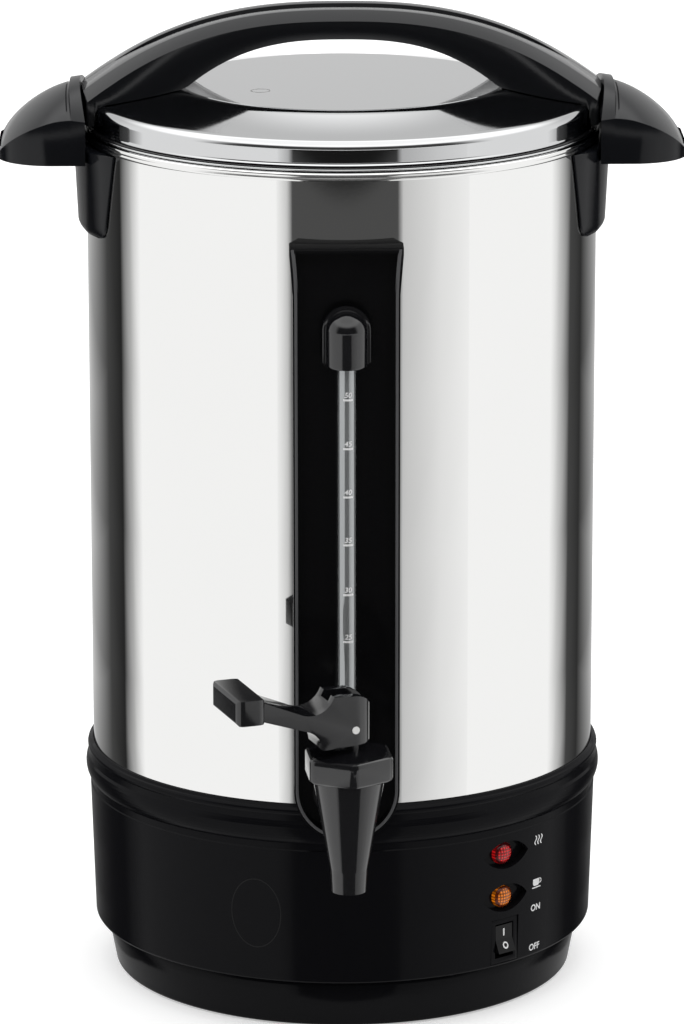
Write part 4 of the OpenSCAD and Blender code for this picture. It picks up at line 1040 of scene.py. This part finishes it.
@dataclass
class SideGrip:
    """A side grip: a crowned wing with a collar at its root, and a bevelled leg down the tank wall."""

    root: float = 112.6
    root_round: float = 3.2
    reach: float = 35.0
    half: float = 42.0
    corner: float = 24.0
    low: float = 366.0
    crown_centre: float = 313.6
    crown_radius: float = 81.0
    sag_radius: float = 95.0
    ridge_drop: float = 27.0
    power: float = 1.36
    flatten: float = 0.045
    tip_edge: float = 3.4
    collar: float = 4.4
    collar_rise: float = 1.8
    groove: float = 0.7
    wall: float = 3.4
    hollow: float = 4.5
    leg_low: float = 334.0
    leg_top: float = 371.8
    leg_inner: float = 110.2
    leg_foot_half: float = 44.0
    leg_top_half: float = 53.0
    leg_foot_thick: float = 3.6
    leg_root_thick: float = 5.4
    leg_bevel: float = 9.0
    leg_corner: float = 6.0
    leg_lip: float = 0.6
    leg_lip_rise: float = 2.0
    leg_steps: tuple[float, ...] = (0.0, 0.3, 0.8, 1.5, 2.5, 4.0, 6.0, 9.0, 15.0, 22.0, 29.0, 33.0)
    wing_round: float = 0.0011
    leg_round: float = 0.0006

    def build(self, shop: Workshop) -> bpy.types.Object:
        """Makes both grips and puts them in place of their solids.

        Args:
            shop: The finishes.

        Returns:
            The right grip's object.
        """
        wing = self._wing()
        leg = self._leg()
        clear_selection()
        for part in (wing, leg):
            part.select_set(True)
        bpy.context.view_layer.objects.active = wing
        bpy.ops.object.join()
        wing.name = "grip_right"
        other = self._mirrored(wing)
        for piece, node in ((wing, "handle_right"), (other, "handle_left")):
            settle(piece, shop, WING_BLACK, Body.URN, node)
        return wing

    @staticmethod
    def _mirrored(piece: bpy.types.Object) -> bpy.types.Object:
        """Copies a grip to the other side of the tank.

        Args:
            piece: The right grip.

        Returns:
            The left grip, with its own mesh.
        """
        activate(piece)
        bpy.ops.object.duplicate(linked=False)
        other = bpy.context.object
        other.name = "grip_left"
        other.scale = (-1.0, 1.0, 1.0)
        bpy.ops.object.transform_apply(location=False, rotation=False, scale=True)
        bpy.ops.object.mode_set(mode="EDIT")
        bpy.ops.mesh.select_all(action="SELECT")
        bpy.ops.mesh.normals_make_consistent(inside=False)
        bpy.ops.object.mode_set(mode="OBJECT")
        return other

    def _wing(self) -> bpy.types.Object:
        """Lofts the wing from its root to its tip and hollows it from below.

        Returns:
            The wing's object.
        """
        root = self.root
        near = [(root, self.collar_rise), (root + self.collar, self.collar_rise)]
        near += [(root + self.collar + 0.3, -self.groove), (root + self.collar + 1.1, -self.groove)]
        near += [(root + self.collar + 1.6, 0.0)]
        first = self.collar + 1.6
        start = math.degrees(math.asin((first / self.reach) ** (1.0 / self.power)))
        far = []
        for i in range(1, 19):
            angle = math.radians(start + (90.0 - start) * i / 18)
            far.append((root + self.reach * math.sin(angle) ** self.power, 0.0))
        rings = [metres(self._section(at, rise)) for at, rise in near + far]
        piece = loft("grip_wing", rings)
        self._hollow_out(piece)
        round_edges(piece, self.wing_round, 32.0, 3)
        return piece

    def _section(self, at: float, rise: float) -> list[Point3]:
        """Points in millimetres round the wing at one distance from the tank axis.

        Args:
            at: The distance on the middle line.
            rise: How far the top stands above the plain crown.

        Returns:
            The underside from front to back, then the crown from back to front.
        """
        out = min(at - self.root, self.reach)
        angle = math.asin(min(1.0, (out / self.reach) ** (1.0 / self.power)))
        radius = self.crown_radius - self.ridge_drop * (1.0 - max(0.0, math.cos(angle)) ** self.power)
        straight = self.reach - self.corner
        over = max(0.0, out - straight)
        half = self.half - self.corner + math.sqrt(max(0.0, self.corner ** 2 - over ** 2))
        points: list[Point3] = []
        for i in range(-4, 5):
            y = half * i / 4
            points.append((at - self._round(y, out), y, self.low))
        for i in range(10, -11, -1):
            y = half * math.sin(math.radians(9.0 * i))
            sag = self.sag_radius - math.sqrt(self.sag_radius ** 2 - y ** 2)
            top = self.crown_centre + radius - sag / (1.0 + self.flatten * out)
            top += rise * max(0.0, 1.0 - (y / half) ** 4)
            points.append((at - self._round(y, out), y, max(top, self.low + self.tip_edge)))
        return points

    def _round(self, y: float, out: float) -> float:
        """How far a point near the root stands in towards the tank's round."""
        return self.root_round * (y / self.half) ** 2 * max(0.0, 1.0 - out / (self.reach - self.corner))

    def _hollow_out(self, piece: bpy.types.Object) -> None:
        """Sinks the underside of the wing inside its wall.

        Args:
            piece: The wing.
        """
        activate(piece)
        bpy.ops.object.mode_set(mode="EDIT")
        bpy.ops.mesh.select_mode(type="FACE")
        shape = bmesh.from_edit_mesh(piece.data)
        limit = (self.root + self.collar + 1.0) * MM
        for face in shape.faces:
            middle = face.calc_center_median()
            face.select = face.normal.z < -0.9 and middle.x > limit
        shape.select_flush_mode()
        bmesh.update_edit_mesh(piece.data)
        bpy.ops.mesh.inset(thickness=self.wall * MM, use_even_offset=True)
        bpy.ops.mesh.extrude_region_move(TRANSFORM_OT_translate={"value": (0.0, 0.0, self.hollow * MM)})
        bpy.ops.mesh.select_mode(type="VERT")
        bpy.ops.object.mode_set(mode="OBJECT")

    def _leg(self) -> bpy.types.Object:
        """Lofts the leg from its foot to its top, thinner along its edges.

        Returns:
            The leg's object.
        """
        rings = []
        for up in (*self.leg_steps, self.leg_top - self.leg_low):
            share = up / (self.leg_top - self.leg_low)
            half = self.leg_foot_half + (self.leg_top_half - self.leg_foot_half) * share
            lack = max(0.0, self.leg_corner - up)
            half -= self.leg_corner - math.sqrt(self.leg_corner ** 2 - lack ** 2)
            thick = self.leg_foot_thick + (self.leg_root_thick - self.leg_foot_thick) * share
            thick *= self.leg_lip + (1.0 - self.leg_lip) * min(1.0, up / self.leg_lip_rise)
            rings.append(self._leg_ring(half, thick, self.leg_low + up))
        piece = loft("grip_leg", rings)
        round_edges(piece, self.leg_round, 32.0, 2)
        return piece

    def _leg_ring(self, half: float, thick: float, height: float) -> list[Point3]:
        """Points in metres round the leg at one height.

        Args:
            half: Half of the leg's width.
            thick: Its thickness in the middle.
            height: The ring's height.

        Returns:
            The inner arc from front to back, then the outer arc from back to front.
        """
        edge = max(0.0, half - self.leg_bevel)
        inner = [half * i / 8 for i in range(-8, 9)]
        outer = [(half, 1.0), (edge, thick)]
        outer += [(edge * i / 6, thick) for i in range(5, -6, -1)]
        outer += [(-edge, thick), (-half, 1.0)]
        both = [(y, 0.0) for y in inner] + outer
        return metres((math.sqrt((self.leg_inner + deep) ** 2 - y * y), y, height) for y, deep in both)


def plate(name: str, face: Callable[[float, float], Point2], cuts: int = 8, thick: float = 0.06) -> bpy.types.Object:
    """Makes a thin plate whose outline is bent into a figure.

    Args:
        name: The piece's name.
        face: Where a point of the unit square goes, in millimetres across and up.
        cuts: The cuts along each side.
        thick: The plate's thickness in millimetres.

    Returns:
        The plate, lying in the XY plane.
    """
    piece = begin(name, bpy.ops.mesh.primitive_cube_add, size=1.0)
    bpy.ops.object.mode_set(mode="EDIT")
    bpy.ops.mesh.subdivide(number_cuts=cuts)
    bpy.ops.object.mode_set(mode="OBJECT")
    for vert in piece.data.vertices:
        across, up = face(vert.co.x, vert.co.y)
        vert.co = (across * MM, up * MM, vert.co.z * thick * MM)
    return piece


def word(name: str, text: str, height: float, slant: float = 0.0) -> bpy.types.Object:
    """Makes a word or number as a thin mesh.

    Args:
        name: The piece's name.
        text: What it says.
        height: The height of its capitals in millimetres.
        slant: The letters' lean.

    Returns:
        The word, lying in the XY plane with its middle on the origin.
    """
    piece = begin(name, bpy.ops.object.text_add)
    piece.data.body = text
    piece.data.align_x = "CENTER"
    piece.data.align_y = "CENTER"
    piece.data.shear = slant
    piece.data.size = LETTER_SIZE
    piece.data.offset = LETTER_WEIGHT
    piece.data.extrude = LETTER_THICK
    bpy.ops.object.convert(target="MESH")
    bpy.ops.object.mode_set(mode="EDIT")
    bpy.ops.mesh.select_all(action="SELECT")
    bpy.ops.mesh.quads_convert_to_tris()
    bpy.ops.mesh.subdivide(number_cuts=2)
    bpy.ops.object.mode_set(mode="OBJECT")
    points = [vert.co.copy() for vert in piece.data.vertices]
    low = Vector((min(p.x for p in points), min(p.y for p in points), 0.0))
    high = Vector((max(p.x for p in points), max(p.y for p in points), 0.0))
    middle, scale = (low + high) / 2, height * MM / (high.y - low.y)
    for vert, point in zip(piece.data.vertices, points):
        flat = (point - middle) * scale
        vert.co = (flat.x, flat.y, point.z)
    return piece


@dataclass(frozen=True)
class Spot:
    """A place on a round wall: degrees from the front, height, the wall's radius and its axis in Y (mm)."""

    azimuth: float
    height: float
    radius: float
    axis: float = 0.0


def lay_on(piece: bpy.types.Object, node: bpy.types.Object, spot: Spot, lift: float = 0.03) -> None:
    """Lays a flat piece on a solid's outer face, point by point along the solid's turning.

    Args:
        piece: The flat piece, lying in the XY plane.
        node: The solid that carries it.
        spot: Where its middle goes.
        lift: How far its middle stands off the face in millimetres.
    """
    bpy.context.view_layer.update()
    back = node.matrix_world.inverted()
    for vert in piece.data.vertices:
        turn = math.radians(spot.azimuth) + vert.co.x / (spot.radius * MM)
        out = Vector((math.sin(turn), -math.cos(turn), 0.0))
        start = Vector((0.0, spot.axis * MM, spot.height * MM + vert.co.y)) + out * (spot.radius * MM + RAY_START)
        found, place, _, _ = node.ray_cast(back @ start, back.to_3x3() @ -out, distance=RAY_REACH)
        if not found:
            raise ValueError(f"{piece.name} reaches past {node.name}")
        vert.co = node.matrix_world @ place + out * (lift * MM + vert.co.z)


@dataclass
class Markings:
    """The printed scale, switch words, lamp icons, rocker marks and the lamps' rims."""

    nodes: dict[str, bpy.types.Object]
    ticks: tuple[tuple[str, float], ...] = (
        ("50", 283.1), ("45", 262.3), ("40", 241.6), ("35", 221.0), ("30", 199.5), ("25", 179.1),
    )
    control: float = 38.7
    words_at: float = 48.4
    wall: float = 110.4
    lamps: tuple[tuple[str, str, float], ...] = (("heating_lens", "red", 73.0), ("warming_lens", "amber", 53.5))
    number: Point2 = (2.3, 0.18)
    number_rise: float = 2.15
    tick: Point2 = (4.3, 0.85)
    glass: Point3 = (9.0, 3.8, -121.0)
    words: tuple[tuple[str, float], ...] = (("ON", 44.8), ("OFF", 26.8))
    word_height: float = 3.0
    icon_shift: float = 0.3
    heat_at: float = 75.6
    cup_at: float = 56.2
    lens_wall: float = 111.0
    lens_rim: Point2 = (4.3, 1.15)
    badge: Point2 = (-20.5, 53.0)
    rocker_wall: float = 110.0
    bar_at: float = 37.6
    ring_at: float = 31.9

    def build(self, shop: Workshop) -> bpy.types.Object:
        """Prints every mark.

        Args:
            shop: The finishes.

        Returns:
            The last mark made.
        """
        self._scale(shop)
        self._words(shop)
        self._icons(shop)
        self._lamp_rims(shop)
        self._badge(shop)
        return self._rocker_marks(shop)

    def _set(
        self, shop: Workshop, piece: bpy.types.Object, node: str, spot: Spot, body: Body = Body.URN
    ) -> bpy.types.Object:
        """Lays one white mark on its wall and lets it ride with its body."""
        lay_on(piece, self.nodes[node], spot)
        settle(piece, shop, WHITE_PRINT, body)
        return piece

    def _scale(self, shop: Workshop) -> None:
        """Prints the cup numbers, each over its tick, on the sight glass."""
        facing, radius, axis = self.glass
        for label, height in self.ticks:
            number = word(f"scale_{label}", label, self.number[0], slant=self.number[1])
            self._set(shop, number, "gauge_tube", Spot(facing, height + self.number_rise, radius, axis))
            tick = plate(f"scale_tick_{label}", lambda u, v: (self.tick[0] * u, self.tick[1] * v))
            self._set(shop, tick, "gauge_tube", Spot(facing, height, radius, axis))

    def _words(self, shop: Workshop) -> None:
        """Prints the switch's two words beside it."""
        for label, height in self.words:
            piece = word(f"word_{label.lower()}", label, self.word_height)
            self._set(shop, piece, "base_housing", Spot(self.words_at, height, self.wall))

    def _icons(self, shop: Workshop) -> None:
        """Prints rising heat beside the upper lamp and a cup beside the lower one."""
        beside = self.words_at + self.icon_shift
        for count in (-1, 0, 1):
            wave = plate(
                f"heat_wave_{count + 2}",
                lambda u, v, at=count: (1.9 * at + 0.65 * u + 0.55 * math.sin(6.6 * v), 4.2 * v),
            )
            self._set(shop, wave, "base_housing", Spot(beside, self.heat_at, self.wall))
        cup = plate("cup_bowl", lambda u, v: (4.2 * u * (1.0 - 1.1 * max(0.0, -v - 0.1) ** 2 * 2.2) - 0.6, 3.1 * v))
        handle = plate("cup_handle", self.ring(1.0, 0.42, 1.75, 0.3), cuts=16)
        saucer = plate("cup_saucer", lambda u, v: (5.4 * u - 0.4, 0.5 * v - 2.35))
        for piece in (cup, handle, saucer):
            self._set(shop, piece, "base_housing", Spot(beside, self.cup_at, self.wall))

    @staticmethod
    def ring(radius: float, line: float, across: float = 0.0, up: float = 0.0) -> Callable[[float, float], Point2]:
        """Gives the face of a round outline about a point, all in millimetres."""
        def face(u: float, v: float) -> Point2:
            turn, out = math.radians(RING_SWEEP * u), radius + line * v
            return across + out * math.cos(turn), up + out * math.sin(turn)

        return face

    def _lamp_rims(self, shop: Workshop) -> None:
        """Rings each lamp's lit face with its darker edge."""
        for node, colour, height in self.lamps:
            rim = plate(f"{colour}_lamp_rim", self.ring(*self.lens_rim), cuts=30, thick=0.1)
            lay_on(rim, self.nodes[node], Spot(self.control, height, self.lens_wall), lift=0.06)
            finish, slot = (RED_RIM, Slot.RED) if colour == "red" else (AMBER_RIM, Slot.AMBER)
            settle(rim, shop, finish, Body.URN)

    def _badge(self, shop: Workshop) -> None:
        """Outlines the bare oval on the base where a badge would sit."""
        oval = plate("badge_outline", self._oval, cuts=30)
        lay_on(oval, self.nodes["base_housing"], Spot(*self.badge, self.wall))
        settle(oval, shop, PANEL_BLACK, Body.URN)

    @staticmethod
    def _oval(u: float, v: float) -> Point2:
        """Where a point of the unit square goes on the badge's outline, in millimetres."""
        turn = math.radians(RING_SWEEP * u)
        return (11.2 + 0.35 * v) * math.cos(turn), (15.4 + 0.35 * v) * math.sin(turn)

    def _rocker_marks(self, shop: Workshop) -> bpy.types.Object:
        """Prints the bar and the ring on the rocker's two faces."""
        bar = plate("rocker_bar", lambda u, v: (0.75 * u, 3.2 * v))
        self._set(shop, bar, "switch_rocker", Spot(self.control, self.bar_at, self.rocker_wall), Body.ROCKER)
        ring = plate("rocker_ring", self.ring(1.15, 0.62), cuts=24)
        return self._set(shop, ring, "switch_rocker", Spot(self.control, self.ring_at, self.rocker_wall), Body.ROCKER)


@dataclass
class Plinth:
    """The fuller skirt that clads the base's foot down to the floor."""

    top: float = 21.6
    top_radius: float = 104.2
    low: float = 0.7
    low_radius: float = 101.0
    corner: float = 1.6
    edge: float = 2.4
    foot_top: float = 101.9
    foot_low: float = 96.2

    def build(self, shop: Workshop) -> bpy.types.Object:
        """Turns the skirt round the foot.

        Args:
            shop: The finishes.

        Returns:
            The skirt's object.
        """
        corner = arc((self.low_radius - self.corner, self.low + self.corner), self.corner, -90, -8, 8)
        outline = [(self.foot_low, self.low)] + corner
        wide, lowest = self.top_radius - self.low_radius, self.low + self.corner
        high = self.top - self.edge - self.low - self.corner
        outline += [(self.low_radius + wide * i / 6, lowest + high * i / 6) for i in range(7)]
        outline += [(self.top_radius - 0.2, self.top - 1.2), (self.top_radius - 0.9, self.top - 0.3)]
        outline += [(self.foot_top, self.top), (self.foot_low, self.low)]
        piece = spin_profile("plinth_skirt", metres(outline))
        settle(piece, shop, BASE_BLACK, Body.URN)
        return piece


@dataclass
class PanelEdgeHighlight:
    """A grey strip down both long edges of the gauge panel and round its foot, a painted highlight on the black
    moulding.
    """

    half: float = 22.3
    flare: float = 1.4
    flare_low: float = 322.0
    top: float = 345.5
    turn: float = 112.0
    front: float = -118.5
    line: float = 1.8
    inset: float = 0.4
    strip: tuple[Point2, ...] = ((0.0, 0.06), (0.5, -0.12), (1.0, 0.06))

    def build(self, shop: Workshop) -> bpy.types.Object:
        """Makes the painted edge highlight as one strip.

        Args:
            shop: The finishes.

        Returns:
            The highlight strip's object.
        """
        flared, straight = self.top - self.flare_low, self.flare_low - self.turn
        side = [(self.half + self.flare * (1.0 - i / 12) ** 2, self.top - flared * i / 12) for i in range(13)]
        side += [(self.half, self.flare_low - straight * i / 4) for i in range(1, 4)]
        path = [(-x, z) for x, z in side] + arc((0.0, self.turn), self.half, 180, 360, 48) + side[::-1]
        rings = []
        for x, z in path:
            away = Vector((x, min(0.0, z - self.turn))).normalized()
            strip = [(self.inset + self.line * share, out) for share, out in self.strip]
            rings.append(metres((x - away.x * deep, self.front + out, z - away.y * deep) for deep, out in strip))
        piece = loft("panel_edge_highlight_strip", rings)
        # Painted highlight: the grey strip paints the light lines on the panel's edges.
        settle(piece, shop, EDGE_HIGHLIGHT_GREY, Body.URN)
        return piece


@dataclass
class TapHub:
    """The tap's hexagon hub with rounded corners, its low crown and the hole for the stem."""

    axis: float = -165.0
    radius: float = 20.0
    turn: float = 96.0
    corner: float = 4.2
    low: float = 132.5
    hex_top: float = 143.3
    top: float = 145.3
    hole: float = 4.08
    bore: float = 13.2
    ceiling: float = 141.7

    def build(self, shop: Workshop) -> bpy.types.Object:
        """Lofts the hub from its foot over the crown and down the hole.

        Args:
            shop: The finishes.

        Returns:
            The hub's object.
        """
        levels = [(self.low, 1.5), (self.low + 0.7, 0.5), (self.low + 1.6, 0.0), (self.hex_top - 1.2, 0.0)]
        levels += [(self.hex_top - 0.4, 0.35), (self.hex_top, 1.2)]
        rings = [self._hexagon(inset, height) for height, inset in levels]
        rounds = [(self.radius * 0.80, self.hex_top), (self.radius * 0.42, self.top), (self.hole, self.top)]
        rounds += [(self.hole, self.ceiling), (self.bore, self.ceiling), (self.bore, self.low)]
        rings += [self._circle(*level) for level in rounds] + [self._hexagon(1.5, self.low)]
        piece = loft("tap_hub", rings, caps=False)
        activate(piece)
        bpy.ops.object.mode_set(mode="EDIT")
        close_up(merge=True)
        bpy.ops.object.shade_smooth_by_angle(angle=math.radians(32))
        settle(piece, shop, GLOSS_BLACK, Body.URN, "tap_bonnet")
        return piece

    def _hexagon(self, inset: float, height: float) -> list[Point3]:
        """One outline of the hexagon with rounded corners at a height."""
        reach = self.radius - inset / math.cos(math.radians(30.0)) - self.corner / math.cos(math.radians(30.0))
        ring = []
        for side in range(6):
            facing = math.radians(self.turn + 60.0 * side)
            centre = (reach * math.cos(facing), self.axis + reach * math.sin(facing))
            start = self.turn + 60.0 * side
            ring += arc(centre, self.corner, start - 30.0, start + 30.0, 7)
        return metres((x, y, height) for x, y in ring)

    def _circle(self, radius: float, height: float) -> list[Point3]:
        """One round outline at a height, with a point for each point of the hexagon."""
        ring = []
        for side in range(6):
            start = self.turn + 60.0 * side - 30.0
            for step in range(8):
                turn = math.radians(start + 60.0 * (step + 0.5) / 8)
                ring.append((radius * math.cos(turn), self.axis + radius * math.sin(turn), height))
        return metres(ring)


@dataclass
class StemSpring:
    """The coil spring round the valve stem; on the real tap it shortens as the lever lifts the stem, but this piece
    stays as wound.
    """

    axis: float = -165.0
    wire: float = 1.1
    turns: int = 5
    lift: float = 5.1

    def build(self, shop: Workshop) -> bpy.types.Object:
        """Winds the spring in the place of its solid.

        Args:
            shop: The finishes.

        Returns:
            The spring's object.
        """
        (left, _, low), (right, _, high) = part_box("valve_spring")
        thick = self.wire * MM / 2
        radius, climb = (right - left) / 2 - thick, high - low - 2 * thick
        rings = []
        for step in range(self.turns * 20 + 1):
            share = step / (self.turns * 20)
            turn = math.tau * self.turns * share
            middle = low + thick + climb * share
            section = arc((radius, middle), thick, 0.0, 315.0, 7)
            rings.append([(out * math.cos(turn), self.axis * MM + out * math.sin(turn), z) for out, z in section])
        piece = loft("stem_spring", rings)
        settle(piece, shop, FIXING_STEEL, Body.URN, "valve_spring")
        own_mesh(piece)
        return piece


@dataclass
class GaugeCap:
    """The cap over the sight glass: a round-topped back plate with a domed barrel on it."""

    half: float = 10.2
    low: float = 296.6
    top: float = 321.8
    back: float = -118.5
    plate_face: float = -120.4
    barrel: float = 8.9
    barrel_face: float = -130.0
    barrel_top: float = 320.4

    def build(self, shop: Workshop) -> bpy.types.Object:
        """Makes the plate and the barrel in place of the cap's solid.

        Args:
            shop: The finishes.

        Returns:
            The barrel's object.
        """
        face = self.plate_face
        edge = ((0.0, self.back), (0.0, face + 0.7), (0.22, face + 0.2), (0.75, face))
        back = loft("gauge_cap_plate", [self._outline(self.half - inset, y) for inset, y in edge])
        barrel = self._barrel()
        for piece in (back, barrel):
            activate(piece)
            bpy.ops.object.shade_smooth_by_angle(angle=math.radians(40))
            settle(piece, shop, GLOSS_BLACK, Body.URN, "gauge_cap")
        return barrel

    def _outline(self, half: float, y: float) -> list[Point3]:
        """One round-topped outline of the back plate at a depth."""
        centre, low = self.top - self.half, self.low + self.half - half
        flat = [(half - 1.5, low), (half, low + 1.5)]
        crown = arc((0.0, centre), half, 0, 180, 32)
        foot = [(-half, low + 1.5), (1.5 - half, low)]
        return metres((x, y, z) for x, z in flat + crown + foot)

    def _barrel(self) -> bpy.types.Object:
        """The domed barrel, round in front and flat where it meets the plate."""
        r, deep = self.barrel, self.plate_face - self.barrel_face
        dome = self.barrel_top - r
        levels = [(self.low, 0.94), (self.low + 0.5, 0.99), (self.low + 1.0, 1.0)]
        levels += [(dome + r * math.sin(math.radians(a)), math.cos(math.radians(a))) for a in range(0, 86, 5)]
        rings = []
        for height, share in levels:
            turns = [math.radians(180.0 * i / 32) for i in range(33)]
            ring = [(r * share * math.cos(a), self.plate_face - deep * share * math.sin(a)) for a in turns]
            ring += [(-r * share, self.plate_face + 0.3), (r * share, self.plate_face + 0.3)]
            rings.append(metres((x, y, height) for x, y in ring))
        return loft("gauge_cap_barrel", rings)


def soften(node: bpy.types.Object, width: float, angle: float) -> None:
    """Rounds a solid's edges by modifiers that leave its mesh as it is.

    Args:
        node: The solid.
        width: The rounding's width in millimetres.
        angle: The smallest angle between faces that is rounded, in degrees.
    """
    weld = node.modifiers.new("weld", "WELD")
    weld.merge_threshold = SAME_PLACE
    flat = node.modifiers.new("flat", "DECIMATE")
    flat.decimate_type = "DISSOLVE"
    flat.angle_limit = math.radians(1.0)
    bevel = node.modifiers.new("rounding", "BEVEL")
    bevel.width = width * MM
    bevel.segments = 4
    bevel.limit_method = "ANGLE"
    bevel.angle_limit = math.radians(angle)
    bevel.use_clamp_overlap = True
    activate(node)
    bpy.ops.object.shade_smooth_by_angle(angle=math.radians(32))


def dress_nodes(shop: Workshop, nodes: dict[str, bpy.types.Object]) -> None:
    """Gives every carried-over solid its finish.

    Args:
        shop: The finishes.
        nodes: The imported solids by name.
    """
    for name, node in nodes.items():
        shop.dress(node, NODE_FINISH[name])


def main(frame: dict) -> None:
    """Builds the urn's looks piece by piece.
    """
    logging.basicConfig(level=logging.INFO, format="%(name)s: %(message)s")
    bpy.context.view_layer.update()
    bpy.context.scene.view_settings.view_transform = "Standard"
    Studio().build()
    shop = Workshop()
    dress_nodes(shop, frame["nodes"])
    for name, (width, angle) in SOFTENED.items():
        soften(frame["nodes"][name], width, angle)
    large = (Tank(), Lid(), LidArch(), SideGrip(), Plinth(), PanelEdgeHighlight())
    for maker in (*large, GaugeCap(), TapHub(), StemSpring(), Markings(frame["nodes"])):
        LOG.info("made %s", maker.build(shop).name)


if __name__ == "__main__":
    main(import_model())
